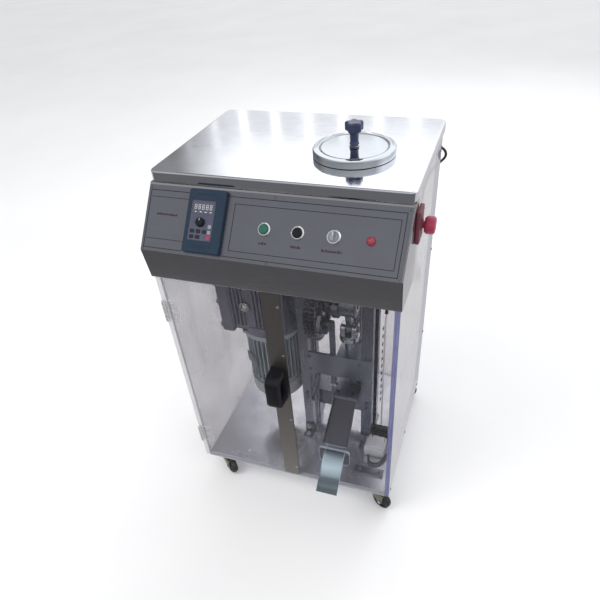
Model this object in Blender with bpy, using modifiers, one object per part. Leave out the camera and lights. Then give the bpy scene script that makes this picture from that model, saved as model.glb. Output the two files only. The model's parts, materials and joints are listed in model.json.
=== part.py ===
"""Single-punch tablet press in a clear cabinet on castors, as separate named sub-parts.

Metres, +Z up, -Y to the front. The machine is laid out about the middle of its base plate at floor
level, and every sub-part hangs from one empty that moves that point so that the whole machine's
bounding box is centred on the origin.
"""

import math

import bmesh
import bpy
from mathutils import Matrix, Vector

GAP = 0.0003

# Castors and base plate.
CASTOR_HEIGHT = 0.062
CASTOR_X = 0.200
CASTOR_Y = 0.178
CASTOR_TRAIL = 0.024
WHEEL_RADIUS = 0.0235
WHEEL_WIDTH = 0.016
BASE_THICK = 0.008
BASE_TOP = CASTOR_HEIGHT + BASE_THICK

# Clear cabinet.
HALF_WIDTH = 0.240
HALF_DEPTH = 0.2035
SIDE_PANE = 0.010
REAR_PANE = 0.008
FRONT_PANE = 0.006
INSIDE_X = HALF_WIDTH - SIDE_PANE
PANE_TOP = 0.7735
STILE_HALF = 0.019
STILE_THICK = 0.003
HANDLE_X = -0.0035
HANDLE_Z = 0.3815
HANDLE_HEIGHT = 0.084
HANDLE_REACH = 0.042
HANDLE_WIDTH = 0.032
HINGE_X = -0.2345
HINGE_Y = -0.2090
HINGE_HEIGHTS = (0.150, 0.530)

# Folded top cover and the console's profile.
COVER_HALF = 0.2436
COVER_FRONT = -0.136
COVER_REAR = 0.215
COVER_TOP = 0.792
COVER_SHEET = 0.002
COVER_LIP = 0.018
COVER_CORNER = 0.014
CONSOLE_HALF = 0.2431
CONSOLE_BACK = -0.100
CONSOLE_FLOOR = 0.611
CONSOLE_CHIN_Y = -0.2087
CONSOLE_NOSE = (-0.2179, 0.677)
CONSOLE_CREST = (-0.136, 0.7715)
CONSOLE_SHEET = 0.002
PANEL_THICK = 0.0015
PANEL_HALF = 0.2405

# Controls: places along X and down the slope from the console's crest.
CONTROL_ROW = 0.065
START_X = -0.006
STOP_X = 0.055
SPEED_X = 0.118
LAMP_X = 0.181
BEZEL_RADIUS = 0.0122
BEZEL_HEIGHT = 0.004
BUTTON_RADIUS = 0.0082
BUTTON_TRAVEL = 0.0035
INVERTER_X = -0.118
INVERTER_WIDTH = 0.073
INVERTER_DROP = (0.007, 0.120)
INVERTER_HEIGHT = 0.008
DIAL_X = -0.1245
DIAL_DROP = 0.066
ESTOP_Y = -0.107
ESTOP_Z = 0.724
ESTOP_TIP = 0.2735

# Hopper.
HOPPER_X = 0.105
HOPPER_Y = 0.005
HOPPER_RADIUS = 0.065
COLLAR_RADIUS = 0.070
COLLAR_HEIGHT = 0.008
LID_RADIUS = 0.076
LID_TOP = 0.806
TUBE_Y = 0.036
TUBE_RADIUS = 0.014
KNOB_HEIGHT = 0.042
KNOB_RADIUS = 0.0172

# Press frame.
UPRIGHT_FRONT = -0.063
UPRIGHT_BACK = -0.045
REAR_FRONT = -0.007
REAR_BACK = 0.011
LEFT_UPRIGHT = (-0.011, 0.011)
RIGHT_UPRIGHT = (0.137, 0.163)
FRAME_TOP = 0.5535
BEAM_THICK = 0.012
TOOL_X = 0.101
TOOL_Y = -0.026
CRANK_Z = 0.464
CRANK_THROW = 0.012
GUIDE_Z = (0.292, 0.355)
TABLE_Z = (0.242, 0.262)
PUNCH_Z = 0.2767
CROSSBAR_Z = (0.173, 0.216)
LIFT_X = (0.063, 0.075)
LIFT_TOP = 0.446
SEAT_Z = 0.1615

# Gears.
MODULE = 0.003
GEAR_TEETH = 52
PINION_TEETH = 14
GEAR_X = (0.019, 0.045)
PINION_Y = TOOL_Y + MODULE * (GEAR_TEETH + PINION_TEETH) / 2 + 0.0005

# Worm gearbox and motor.
GEARBOX_X = (-0.160, -0.042)
GEARBOX_Y = (-0.090, 0.072)
GEARBOX_Z = (0.405, 0.5532)
MOTOR_X = -0.090
MOTOR_Y = -0.021
MOTOR_RADIUS = 0.066
COWL_TOP = 0.240
COWL_BOTTOM = 0.189

# Chute: a floor that falls from the die table out through the front pane.
CHUTE_SLOPE = math.radians(38)
CHUTE_TOP = (-0.1045, 0.258)
CHUTE_END_Y = -0.273
CHUTE_TRAY = 0.108
CHUTE_SHEET = 0.0015
WINDOW_X = (0.072, 0.145)
WINDOW_Z = (0.142, 0.192)

# The cord leaves the rear pane, loops past the right side and hangs down.
CORD_RADIUS = 0.0035
CORD_POINTS = (
    (0.205, 0.206, 0.735), (0.215, 0.222, 0.733), (0.238, 0.234, 0.727), (0.252, 0.237, 0.712),
    (0.250, 0.234, 0.697), (0.236, 0.228, 0.682), (0.215, 0.222, 0.655), (0.205, 0.219, 0.600),
    (0.203, 0.218, 0.520), (0.203, 0.218, 0.440),
)

X_AXIS = Vector((1, 0, 0))
Y_AXIS = Vector((0, 1, 0))
Z_AXIS = Vector((0, 0, 1))


# ---------------------------------------------------------------- scene and objects

def clear_scene():
    for item in list(bpy.data.objects):
        bpy.data.objects.remove(item, do_unlink=True)


def new_collection(name, hidden=False):
    collection = bpy.data.collections.new(name)
    bpy.context.scene.collection.children.link(collection)
    collection.hide_render = hidden
    return collection


def finish(name, colour, roughness, metallic=0.0, alpha=1.0, transmission=0.0):
    material = bpy.data.materials.new(name)
    material.use_nodes = True
    shader = material.node_tree.nodes["Principled BSDF"]
    shader.inputs["Base Color"].default_value = (*colour, 1.0)
    shader.inputs["Roughness"].default_value = roughness
    shader.inputs["Metallic"].default_value = metallic
    shader.inputs["Alpha"].default_value = alpha
    shader.inputs["Transmission Weight"].default_value = transmission
    return material


def place(mesh_data, name, collection, origin):
    """An object whose mesh is drawn in machine coordinates, with its origin moved to origin."""
    mesh_data.transform(Matrix.Translation(-Vector(origin)))
    item = bpy.data.objects.new(name, mesh_data)
    item.location = origin
    item.parent = machine
    collection.objects.link(item)
    return item


def boolean(item, other, operation):
    modifier = item.modifiers.new(other.name, "BOOLEAN")
    modifier.operation = operation
    modifier.object = other
    modifier.solver = "EXACT"


def helper(shape, name):
    """A shape that is only joined to or cut from another."""
    item = place(to_mesh(shape, name), name, helpers, (0, 0, 0))
    item.hide_render = True
    item.display_type = "WIRE"
    return item


def part(name, material, shapes, cuts=(), origin=(0, 0, 0), smooth=30):
    """One sub-part: its first shape, the other shapes joined to it, and the cuts taken out."""
    item = place(to_mesh(shapes[0], name), name, parts, origin)
    item.data.materials.append(material)
    for number, shape in enumerate(shapes[1:]):
        boolean(item, helper(shape, f"{name}_join_{number}"), "UNION")
    for number, shape in enumerate(cuts):
        boolean(item, helper(shape, f"{name}_cut_{number}"), "DIFFERENCE")
    item.data.shade_smooth()
    item.data.set_sharp_from_angle(angle=math.radians(smooth))
    return item


def to_mesh(shape, name):
    mesh = bpy.data.meshes.new(name)
    bmesh.ops.recalc_face_normals(shape, faces=shape.faces)
    shape.to_mesh(mesh)
    shape.free()
    return mesh


# ---------------------------------------------------------------- shapes, in machine coordinates

def box(low, high, bevel=0.0):
    shape = bmesh.new()
    low, high = Vector(low), Vector(high)
    size = Matrix.Diagonal((*(high - low), 1))
    bmesh.ops.create_cube(shape, size=1, matrix=Matrix.Translation((low + high) / 2) @ size)
    if bevel:
        bmesh.ops.bevel(shape, geom=shape.edges, offset=bevel, segments=2, affect="EDGES", profile=0.5)
    return shape


def cone(start, end, radius, end_radius, segments=24):
    """A round solid from start to end."""
    start, end = Vector(start), Vector(end)
    turn = (end - start).to_track_quat("Z", "Y").to_matrix().to_4x4()
    shape = bmesh.new()
    bmesh.ops.create_cone(
        shape, cap_ends=True, segments=segments, radius1=radius, radius2=end_radius,
        depth=(end - start).length, matrix=Matrix.Translation((start + end) / 2) @ turn,
    )
    return shape


def cylinder(start, end, radius, segments=24):
    return cone(start, end, radius, radius, segments)


def moved(shape, matrix):
    bmesh.ops.transform(shape, matrix=matrix, verts=shape.verts)
    return shape


def from_object(item):
    """The evaluated shape of a helper object, which is then removed."""
    bpy.context.view_layer.update()
    graph = bpy.context.evaluated_depsgraph_get()
    mesh = bpy.data.meshes.new_from_object(item.evaluated_get(graph))
    mesh.transform(item.matrix_world)
    shape = bmesh.new()
    shape.from_mesh(mesh)
    bmesh.ops.remove_doubles(shape, verts=shape.verts, dist=1e-6)
    bpy.data.objects.remove(item, do_unlink=True)
    return shape


def outline(points, thickness, frame):
    """A flat outline in frame's XY plane, thickness deep and centred on that plane."""
    curve = bpy.data.curves.new("outline", "CURVE")
    curve.dimensions = "2D"
    curve.fill_mode = "BOTH"
    curve.extrude = thickness / 2
    spline = curve.splines.new("POLY")
    spline.points.add(len(points) - 1)
    for point, (across, up) in zip(spline.points, points):
        point.co = (across, up, 0, 1)
    spline.use_cyclic_u = True
    item = bpy.data.objects.new("outline", curve)
    bpy.context.scene.collection.objects.link(item)
    item.matrix_world = frame
    shape = from_object(item)
    bmesh.ops.dissolve_limit(shape, angle_limit=0.001, verts=shape.verts, edges=shape.edges)
    return shape


def side_profile(points, x_low, x_high):
    """An outline of (Y, Z) points, extruded along X."""
    frame = Matrix.Translation(((x_low + x_high) / 2, 0, 0)) @ Matrix(
        ((0, 0, 1, 0), (1, 0, 0, 0), (0, 1, 0, 0), (0, 0, 0, 1))
    )
    return outline(points, x_high - x_low, frame)


def front_profile(points, y_low, y_high):
    """An outline of (X, Z) points, extruded along Y."""
    frame = Matrix.Translation((0, (y_low + y_high) / 2, 0)) @ Matrix(
        ((1, 0, 0, 0), (0, 0, -1, 0), (0, 1, 0, 0), (0, 0, 0, 1))
    )
    return outline(points, y_high - y_low, frame)


def plan_profile(points, z_low, z_high):
    """An outline of (X, Y) points, extruded along Z."""
    return outline(points, z_high - z_low, Matrix.Translation((0, 0, (z_low + z_high) / 2)))


def rounded(low, high, radius, steps=4):
    """The points of a rectangle with round corners."""
    points = []
    corners = (
        (high[0], high[1], 0), (low[0], high[1], 90), (low[0], low[1], 180), (high[0], low[1], 270),
    )
    for x, y, start in corners:
        centre_x = x - radius if x == high[0] else x + radius
        centre_y = y - radius if y == high[1] else y + radius
        for step in range(steps + 1):
            angle = math.radians(start + 90 * step / steps)
            points.append((centre_x + radius * math.cos(angle), centre_y + radius * math.sin(angle)))
    return points


def turned(profile, segments=24):
    """A profile of (radius, height) points that runs down the outer side, turned about Z."""
    mesh = bpy.data.meshes.new("turned")
    mesh.from_pydata([(r, 0, z) for r, z in profile], [(i, i + 1) for i in range(len(profile) - 1)], [])
    item = bpy.data.objects.new("turned", mesh)
    bpy.context.scene.collection.objects.link(item)
    screw = item.modifiers.new("turn", "SCREW")
    screw.steps = segments
    screw.render_steps = segments
    screw.use_merge_vertices = True
    screw.merge_threshold = 1e-5
    return from_object(item)


def along(shape, centre, direction):
    """A shape drawn about Z, moved to centre with its Z along direction."""
    turn = Vector(direction).to_track_quat("Z", "Y").to_matrix().to_4x4()
    return moved(shape, Matrix.Translation(centre) @ turn)


def gear_outline(teeth, turn=0.0):
    """A spur gear's outline with straight-sided teeth; turn is the place of the first tooth."""
    pitch = MODULE * teeth / 2
    tip, root = pitch + 0.95 * MODULE, pitch - 1.2 * MODULE
    points = []
    for tooth in range(teeth):
        middle = turn + 2 * math.pi * tooth / teeth
        for share, radius in ((-0.33, root), (-0.125, tip), (0.125, tip), (0.33, root)):
            angle = middle + share * 2 * math.pi / teeth
            points.append((radius * math.cos(angle), radius * math.sin(angle)))
    return points


def gear(teeth, x_range, centre_y, centre_z, turn):
    points = [(centre_y + y, centre_z + z) for y, z in gear_outline(teeth, turn)]
    return side_profile(points, *x_range)


# ---------------------------------------------------------------- the console's sloped face

def slope_frame():
    """X along the face, Y up the slope, Z outwards, with its origin at the crest."""
    up = Vector((0, CONSOLE_CREST[0] - CONSOLE_NOSE[0], CONSOLE_CREST[1] - CONSOLE_NOSE[1])).normalized()
    out = X_AXIS.cross(up)
    frame = Matrix((X_AXIS, up, out)).transposed().to_4x4()
    frame.translation = (0, *CONSOLE_CREST)
    return frame


def on_slope(shape, x, drop):
    """A shape drawn about Z from zero up, moved to just over the control panel's face."""
    return moved(shape, slope_frame() @ Matrix.Translation((x, -drop, PANEL_THICK + 2 * GAP)))


def slope_point(x, drop, height=0.0):
    return slope_frame() @ Vector((x, -drop, PANEL_THICK + 2 * GAP + height))


# ---------------------------------------------------------------- cabinet

def build_base():
    half = INSIDE_X - 0.0005
    plate = box((-half, -HALF_DEPTH, CASTOR_HEIGHT), (half, HALF_DEPTH, BASE_TOP))
    hole = cylinder((-0.131, -0.169, 0.05), (-0.131, -0.169, 0.08), 0.004, 16)
    part("base_plate", steel, [plate], [hole])


def build_side_panes():
    points = (
        (-HALF_DEPTH, CASTOR_HEIGHT), (HALF_DEPTH, CASTOR_HEIGHT), (HALF_DEPTH, PANE_TOP),
        (CONSOLE_BACK + 0.0005, PANE_TOP), (CONSOLE_BACK + 0.0005, CONSOLE_FLOOR - 0.0005),
        (-HALF_DEPTH, CONSOLE_FLOOR - 0.0005),
    )
    part("left_side_panel", acrylic, [side_profile(points, -HALF_WIDTH, -INSIDE_X)])
    part("right_side_panel", acrylic, [side_profile(points, INSIDE_X, HALF_WIDTH)])


def build_rear_pane():
    half = INSIDE_X - 0.0005
    pane = box((-half, HALF_DEPTH - REAR_PANE, BASE_TOP + 0.0005), (half, HALF_DEPTH, PANE_TOP))
    x, _, z = CORD_POINTS[0]
    hole = cylinder((x, 0.18, z), (x, 0.22, z), CORD_RADIUS + 0.001)
    part("rear_panel", acrylic, [pane], [hole])


def build_front_pane():
    low = (0.001, BASE_TOP + 0.0005)
    high = (INSIDE_X - 0.0005, CONSOLE_FLOOR - 0.0005)
    back = -HALF_DEPTH + FRONT_PANE
    pane = box((low[0], -HALF_DEPTH, low[1]), (high[0], back, high[1]))
    window = rounded((WINDOW_X[0], WINDOW_Z[0]), (WINDOW_X[1], WINDOW_Z[1]), 0.008)
    part("front_window_panel", acrylic, [pane], [front_profile(window, -0.22, -0.18)])


def build_top_cover():
    outer = rounded((-COVER_HALF, COVER_FRONT), (COVER_HALF, COVER_REAR), COVER_CORNER)
    inner = rounded(
        (-COVER_HALF + COVER_SHEET, COVER_FRONT + COVER_SHEET),
        (COVER_HALF - COVER_SHEET, COVER_REAR - COVER_SHEET), COVER_CORNER - COVER_SHEET,
    )
    under = COVER_TOP - COVER_SHEET
    rim = COVER_TOP + COLLAR_HEIGHT
    collar = cylinder((HOPPER_X, HOPPER_Y, under), (HOPPER_X, HOPPER_Y, rim), COLLAR_RADIUS, 40)
    hole = cylinder((HOPPER_X, HOPPER_Y, 0.7), (HOPPER_X, HOPPER_Y, 0.85), HOPPER_RADIUS, 40)
    part(
        "top_cover", steel,
        [plan_profile(outer, COVER_TOP - COVER_LIP, COVER_TOP), collar],
        [plan_profile(inner, 0.7, under), hole],
    )


def console_points(inset, back):
    """The console's (Y, Z) outline, pulled in by inset on every side but the back."""
    slope = slope_frame().to_3x3()
    crest = Vector((0, *CONSOLE_CREST)) - inset * (slope.col[2] + slope.col[1] * 0.75)
    nose = Vector((0, *CONSOLE_NOSE)) - inset * (slope.col[2] - slope.col[1] * 0.5)
    return (
        (back, CONSOLE_FLOOR + inset), (CONSOLE_CHIN_Y + inset, CONSOLE_FLOOR + inset),
        (nose.y, nose.z), (crest.y, CONSOLE_CREST[1] - inset), (back, CONSOLE_CREST[1] - inset),
    )


def build_console():
    shell = side_profile(console_points(0, CONSOLE_BACK), -CONSOLE_HALF, CONSOLE_HALF)
    inside = CONSOLE_HALF - CONSOLE_SHEET
    hollow = side_profile(console_points(CONSOLE_SHEET, CONSOLE_BACK + 0.02), -inside, inside)
    cuts = [hollow]
    for x in (START_X, STOP_X, SPEED_X):
        cuts.append(on_slope(cylinder((0, 0, -0.02), (0, 0, 0.02), 0.0095), x, CONTROL_ROW))
    part("console_shell", steel, [shell], cuts)


def build_control_panel():
    plate = box((-PANEL_HALF, -0.1245, GAP), (PANEL_HALF, -0.0045, GAP + PANEL_THICK))
    plate = moved(plate, slope_frame())
    cuts = [
        on_slope(cylinder((0, 0, -0.02), (0, 0, 0.02), 0.0095), x, CONTROL_ROW)
        for x in (START_X, STOP_X, SPEED_X)
    ]
    part("control_panel", brushed, [plate], cuts)


def build_cord():
    curve = bpy.data.curves.new("cord", "CURVE")
    curve.dimensions = "3D"
    curve.bevel_depth = CORD_RADIUS
    curve.bevel_resolution = 2
    curve.use_fill_caps = True
    spline = curve.splines.new("POLY")
    spline.points.add(len(CORD_POINTS) - 1)
    for point, place_at in zip(spline.points, CORD_POINTS):
        point.co = (*place_at, 1)
    item = bpy.data.objects.new("cord", curve)
    bpy.context.scene.collection.objects.link(item)
    x, y, z = CORD_POINTS[0]
    gland = cylinder((x, HALF_DEPTH + GAP, z), (x, HALF_DEPTH + 0.016, z), 0.009)
    x, y, z = CORD_POINTS[-1]
    plug = box((x - 0.016, y - 0.012, z - 0.045), (x + 0.016, y + 0.012, z + 0.004), 0.003)
    part("power_cable", rubber, [from_object(item), gland, plug])


# ---------------------------------------------------------------- door

def build_door():
    back = -HALF_DEPTH + FRONT_PANE
    top = CONSOLE_FLOOR - 0.0005
    pivot = (HINGE_X, HINGE_Y, HINGE_HEIGHTS[0])
    pane = box((-INSIDE_X + 0.0015, -HALF_DEPTH, BASE_TOP + 0.0005), (0.0, back, top))
    part("door_panel", acrylic, [pane], origin=pivot)
    front = -HALF_DEPTH - 0.0005
    stile = box((-STILE_HALF, front - STILE_THICK, BASE_TOP + 0.0005), (STILE_HALF, front, top))
    part("door_stile", brushed, [stile], origin=pivot)
    build_handle(pivot, front - STILE_THICK - GAP)
    for name, height in zip(("door_hinge_lower", "door_hinge_upper"), HINGE_HEIGHTS):
        ends = (height - 0.025, height + 0.025)
        barrel = cylinder((HINGE_X, HINGE_Y, ends[0]), (HINGE_X, HINGE_Y, ends[1]), 0.004, 16)
        low = (HINGE_X + 0.0005, HINGE_Y - 0.001, height - 0.025)
        high = (HINGE_X + 0.028, HINGE_Y + 0.001, height + 0.025)
        leaf = box(low, high)
        lift = Matrix.Translation((0, -HALF_DEPTH - 0.0005 - HINGE_Y - 0.001, 0))
        part(name, acrylic, [moved(leaf, lift), barrel], origin=pivot)


def build_handle(pivot, face):
    """A bridge pull: two feet and a grip, drawn as a rounded D and cut by a smaller one."""
    half = HANDLE_HEIGHT / 2
    outer = rounded((face - HANDLE_REACH, HANDLE_Z - half), (face + 0.03, HANDLE_Z + half), 0.020, 6)
    hole = half - 0.017
    front = face - HANDLE_REACH + 0.013
    inner = rounded((front, HANDLE_Z - hole), (face + 0.05, HANDLE_Z + hole), 0.010, 5)
    low, high = HANDLE_X - HANDLE_WIDTH / 2, HANDLE_X + HANDLE_WIDTH / 2
    wall = box((low - 0.01, face, HANDLE_Z - 0.1), (high + 0.01, face + 0.08, HANDLE_Z + 0.1))
    part(
        "door_handle", black_plastic, [side_profile(outer, low, high)],
        [side_profile(inner, low - 0.01, high + 0.01), wall], origin=pivot,
    )


# ---------------------------------------------------------------- controls

def ring(outer, inner, height, segments=20):
    """A bezel ring with a slightly dished rim."""
    profile = (
        (inner, height), (outer - 0.0012, height), (outer, height - 0.0014), (outer, 0),
        (inner, 0), (inner, height),
    )
    return turned(profile, segments)


def build_buttons():
    for name, x, bezel, cap in (("start", START_X, chrome, green), ("stop", STOP_X, chrome, black_plastic)):
        rim = ring(BEZEL_RADIUS, BUTTON_RADIUS + GAP, BEZEL_HEIGHT)
        part(f"{name}_bezel", bezel, [on_slope(rim, x, CONTROL_ROW)])
        profile = (
            (0, 0.0065), (0.0062, 0.0065), (BUTTON_RADIUS, 0.0052), (BUTTON_RADIUS, -0.008), (0, -0.008),
        )
        body = turned(profile, 24)
        part(f"{name}_button", cap, [on_slope(body, x, CONTROL_ROW)], origin=slope_point(x, CONTROL_ROW))


def build_speed_knob():
    rim = ring(BEZEL_RADIUS + 0.0008, BUTTON_RADIUS + GAP, BEZEL_HEIGHT)
    part("speed_bezel", chrome, [on_slope(rim, SPEED_X, CONTROL_ROW)])
    body = turned(
        ((0, 0.006), (0.0070, 0.006), (BUTTON_RADIUS, 0.005), (BUTTON_RADIUS, -0.008), (0, -0.008)), 24
    )
    grip = box((-0.0025, -0.0078, 0.004), (0.0025, 0.0078, 0.0125), 0.0008)
    shapes = [on_slope(body, SPEED_X, CONTROL_ROW), on_slope(grip, SPEED_X, CONTROL_ROW)]
    part("speed_knob", grey_plastic, shapes, origin=slope_point(SPEED_X, CONTROL_ROW))


def build_lamp():
    profile = ((0, 0.007), (0.003, 0.0067), (0.0058, 0.0052), (0.0074, 0.0026), (0.0078, 0), (0, 0))
    dome = turned(profile, 24)
    part("power_lamp", red, [on_slope(dome, LAMP_X, CONTROL_ROW)])


def build_inverter():
    half = INVERTER_WIDTH / 2
    top, bottom = INVERTER_DROP
    low = (INVERTER_X - half, -bottom)
    high = (INVERTER_X + half, -top)
    middle = Matrix.Translation((0, 0, INVERTER_HEIGHT / 2))
    body = outline(rounded(low, high, 0.003, 3), INVERTER_HEIGHT, middle)
    well = cylinder((DIAL_X, -DIAL_DROP, INVERTER_HEIGHT - 0.0015), (DIAL_X, -DIAL_DROP, 0.02), 0.0092)
    part("inverter_housing", blue_plastic, [on_slope(body, 0, 0)], [on_slope(well, 0, 0)])
    base = INVERTER_HEIGHT - 0.0015 + GAP
    profile = (
        (0, base + 0.007), (0.0068, base + 0.007), (0.0085, base + 0.0055), (0.0085, base), (0, base),
    )
    dial = turned(profile, 24)
    part(
        "inverter_dial", black_plastic, [on_slope(dial, DIAL_X, DIAL_DROP)],
        origin=slope_point(DIAL_X, DIAL_DROP, base),
    )


def build_estop():
    face = CONSOLE_HALF + GAP
    low = (face, ESTOP_Y - 0.020, ESTOP_Z - 0.0295)
    high = (face + 0.007, ESTOP_Y + 0.020, ESTOP_Z + 0.0295)
    plate = box(low, high, 0.001)
    bore = cylinder((0.2, ESTOP_Y, ESTOP_Z), (0.3, ESTOP_Y, ESTOP_Z), 0.0066)
    part("estop_base", dark_red, [plate], [bore])
    neck = cylinder((face + 0.0056, ESTOP_Y, ESTOP_Z), (0.262, ESTOP_Y, ESTOP_Z), 0.006)
    cap = ((0, 0.0), (0.0125, 0.0), (0.0150, -0.0025), (0.0150, -0.0160), (0.0125, -0.0180), (0, -0.0180))
    head = along(turned(cap, 32), (ESTOP_TIP, ESTOP_Y, ESTOP_Z), X_AXIS)
    part("estop_head", red, [head, neck], origin=(face + 0.0056, ESTOP_Y, ESTOP_Z))


# ---------------------------------------------------------------- hopper

def loft(rings, segments=24):
    """A tube wall through level rings of (x, y, z, radius), the last joined back to the first."""
    shape = bmesh.new()
    rows = []
    for x, y, z, radius in rings:
        angles = [2 * math.pi * step / segments for step in range(segments)]
        circle = [(x + radius * math.cos(a), y + radius * math.sin(a)) for a in angles]
        rows.append([shape.verts.new((place_x, place_y, z)) for place_x, place_y in circle])
    for number, row in enumerate(rows):
        after = rows[(number + 1) % len(rows)]
        for step in range(segments):
            following = (step + 1) % segments
            shape.faces.new((row[step], row[following], after[following], after[step]))
    return shape


def build_hopper():
    wall = 0.0015
    outer = HOPPER_RADIUS - GAP
    stations = (
        (HOPPER_X, TUBE_Y, TABLE_Z[1] + 0.024, TUBE_RADIUS), (HOPPER_X, TUBE_Y, 0.640, TUBE_RADIUS),
        (HOPPER_X, HOPPER_Y, 0.780, outer), (HOPPER_X, HOPPER_Y, 0.7985, outer),
    )
    inside = [(x, y, z, radius - wall) for x, y, z, radius in reversed(stations)]
    part("hopper", steel, [loft([*stations, *inside])])


def build_lid():
    low = COVER_TOP + 0.0025
    groove = LID_RADIUS - 0.013
    depth = 0.0012
    skirt = COLLAR_RADIUS + 0.0008
    under = COVER_TOP + COLLAR_HEIGHT + GAP
    profile = (
        (0, LID_TOP), (groove - 0.0015, LID_TOP), (groove, LID_TOP - depth), (groove + 0.0015, LID_TOP),
        (LID_RADIUS - 0.0008, LID_TOP), (LID_RADIUS, LID_TOP - 0.0008), (LID_RADIUS, low), (skirt, low),
        (skirt, under), (0, under),
    )
    disc = along(turned(profile, 40), (HOPPER_X, HOPPER_Y, 0), Z_AXIS)
    part("hopper_lid", steel, [disc], origin=(HOPPER_X, HOPPER_Y, LID_TOP))
    build_knob()


def star_outline(lobes, radius, steps):
    """A star grip: the radius swells and falls once for each lobe."""
    points = []
    first = math.pi / lobes
    for step in range(lobes * steps):
        angle = 2 * math.pi * step / (lobes * steps)
        reach = radius * (0.86 + 0.14 * math.cos(lobes * (angle - first)))
        points.append((HOPPER_X + reach * math.cos(angle), HOPPER_Y + reach * math.sin(angle)))
    return points


def build_knob():
    foot = LID_TOP + GAP
    top = LID_TOP + KNOB_HEIGHT
    profile = (
        (0, top - 0.006), (0.0125, top - 0.0150), (0.0095, top - 0.0185), (0.0078, top - 0.0225),
        (0.0074, top - 0.036), (0.0056, foot), (0, foot),
    )
    stem = along(turned(profile, 24), (HOPPER_X, HOPPER_Y, 0), Z_AXIS)
    grip = plan_profile(star_outline(5, KNOB_RADIUS, 8), top - 0.0150, top)
    part("lid_knob", navy_plastic, [grip, stem], origin=(HOPPER_X, HOPPER_Y, foot))


# ---------------------------------------------------------------- gearbox and motor

def build_gearbox():
    x_low, x_high = GEARBOX_X
    y_low, y_high = GEARBOX_Y
    z_low, z_high = GEARBOX_Z
    wheel_y = PINION_Y - 0.02
    wheel_z = CRANK_Z + 0.006
    body = box((x_low, y_low, z_low), (x_high, y_high, z_high))
    wheel = cylinder((x_low + 0.004, wheel_y, wheel_z), (x_high - 0.004, wheel_y, wheel_z), 0.068, 32)
    cover_low = (x_low - 0.024, y_low, z_low - 0.006)
    cover_high = (x_low + 0.006, y_low + 0.118, z_high - 0.018)
    cover = box(cover_low, cover_high, 0.004)
    boss = cylinder((x_high - 0.01, PINION_Y, CRANK_Z), (x_high + 0.012, PINION_Y, CRANK_Z), 0.032)
    flange_low = (MOTOR_X, MOTOR_Y, z_low - 0.010)
    flange_high = (MOTOR_X, MOTOR_Y, z_low + 0.01)
    flange = cylinder(flange_low, flange_high, MOTOR_RADIUS + 0.006, 32)
    bore = cylinder((x_high - 0.03, PINION_Y, CRANK_Z), (x_high + 0.02, PINION_Y, CRANK_Z), 0.0113)
    part("gearbox", grey_iron, [body, wheel, cover, boss, flange], [bore])


def build_motor():
    top = GEARBOX_Z[0] - 0.010 - GAP
    low = COWL_TOP
    centre = (MOTOR_X, MOTOR_Y)
    frame_radius = MOTOR_RADIUS - 0.006
    shapes = [cylinder((*centre, low), (*centre, top), frame_radius, 32)]
    shapes.append(cylinder((*centre, top - 0.012), (*centre, top), MOTOR_RADIUS + 0.006, 32))
    fins = 10
    for number in range(fins):
        angle = math.pi * number / fins + math.radians(7.5)
        fin = box((-MOTOR_RADIUS, -0.0016, low + 0.004), (MOTOR_RADIUS, 0.0016, top - 0.008))
        shapes.append(moved(fin, Matrix.Translation((*centre, 0)) @ Matrix.Rotation(angle, 4, "Z")))
    part("motor_body", motor_grey, shapes)
    rim = MOTOR_RADIUS + 0.001
    cowl = turned(
        ((0, low - GAP), (rim, low - GAP), (rim, COWL_BOTTOM + 0.016), (rim - 0.004, COWL_BOTTOM + 0.006),
         (rim - 0.014, COWL_BOTTOM), (0, COWL_BOTTOM)), 32
    )
    part("motor_fan_cowl", motor_grey, [along(cowl, (*centre, 0), Z_AXIS)])


# ---------------------------------------------------------------- drive

def build_gears():
    tooth = 2 * math.pi / GEAR_TEETH
    wheel = gear(GEAR_TEETH, GEAR_X, TOOL_Y, CRANK_Z, tooth / 2)
    crank_bore = cylinder((-0.1, TOOL_Y, CRANK_Z), (0.2, TOOL_Y, CRANK_Z), 0.0145)
    cuts = [crank_bore]
    web = 0.009
    for x_low, x_high in ((GEAR_X[0] - 0.01, GEAR_X[0] + web), (GEAR_X[1] - web, GEAR_X[1] + 0.01)):
        profile = ((0.064, x_high), (0.064, x_low), (0.026, x_low), (0.026, x_high), (0.064, x_high))
        dish = turned(profile, 28)
        cuts.append(along(dish, (0, TOOL_Y, CRANK_Z), X_AXIS))
    for number in range(5):
        angle = 2 * math.pi * number / 5 + math.radians(50)
        y = TOOL_Y + 0.045 * math.cos(angle)
        z = CRANK_Z + 0.045 * math.sin(angle)
        cuts.append(cylinder((-0.1, y, z), (0.1, y, z), 0.0125, 14))
    part("drive_gear", gear_steel, [wheel], cuts, origin=(GEAR_X[0], TOOL_Y, CRANK_Z))

    small = gear(PINION_TEETH, (GEAR_X[0] - 0.002, GEAR_X[1] + 0.002), PINION_Y, CRANK_Z, math.pi)
    ends = (GEARBOX_X[1] - 0.025, GEAR_X[1] + 0.008)
    shaft = cylinder((ends[0], PINION_Y, CRANK_Z), (ends[1], PINION_Y, CRANK_Z), 0.011)
    part("pinion", gear_steel, [small, shaft], origin=(GEAR_X[0], PINION_Y, CRANK_Z))


def build_crank():
    shaft = cylinder((-0.040, TOOL_Y, CRANK_Z), (0.070, TOOL_Y, CRANK_Z), 0.0142)
    cam = cylinder((0.0475, TOOL_Y, CRANK_Z + 0.004), (0.060, TOOL_Y, CRANK_Z + 0.004), 0.0215)
    disc = cylinder((0.066, TOOL_Y, CRANK_Z), (0.080, TOOL_Y, CRANK_Z), 0.026)
    pin_z = CRANK_Z + CRANK_THROW
    pin = cylinder((0.079, TOOL_Y, pin_z), (0.0825, TOOL_Y, pin_z), 0.010)
    part("crank_shaft", gear_steel, [shaft, cam, disc, pin], origin=(0.0, TOOL_Y, CRANK_Z))


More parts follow.
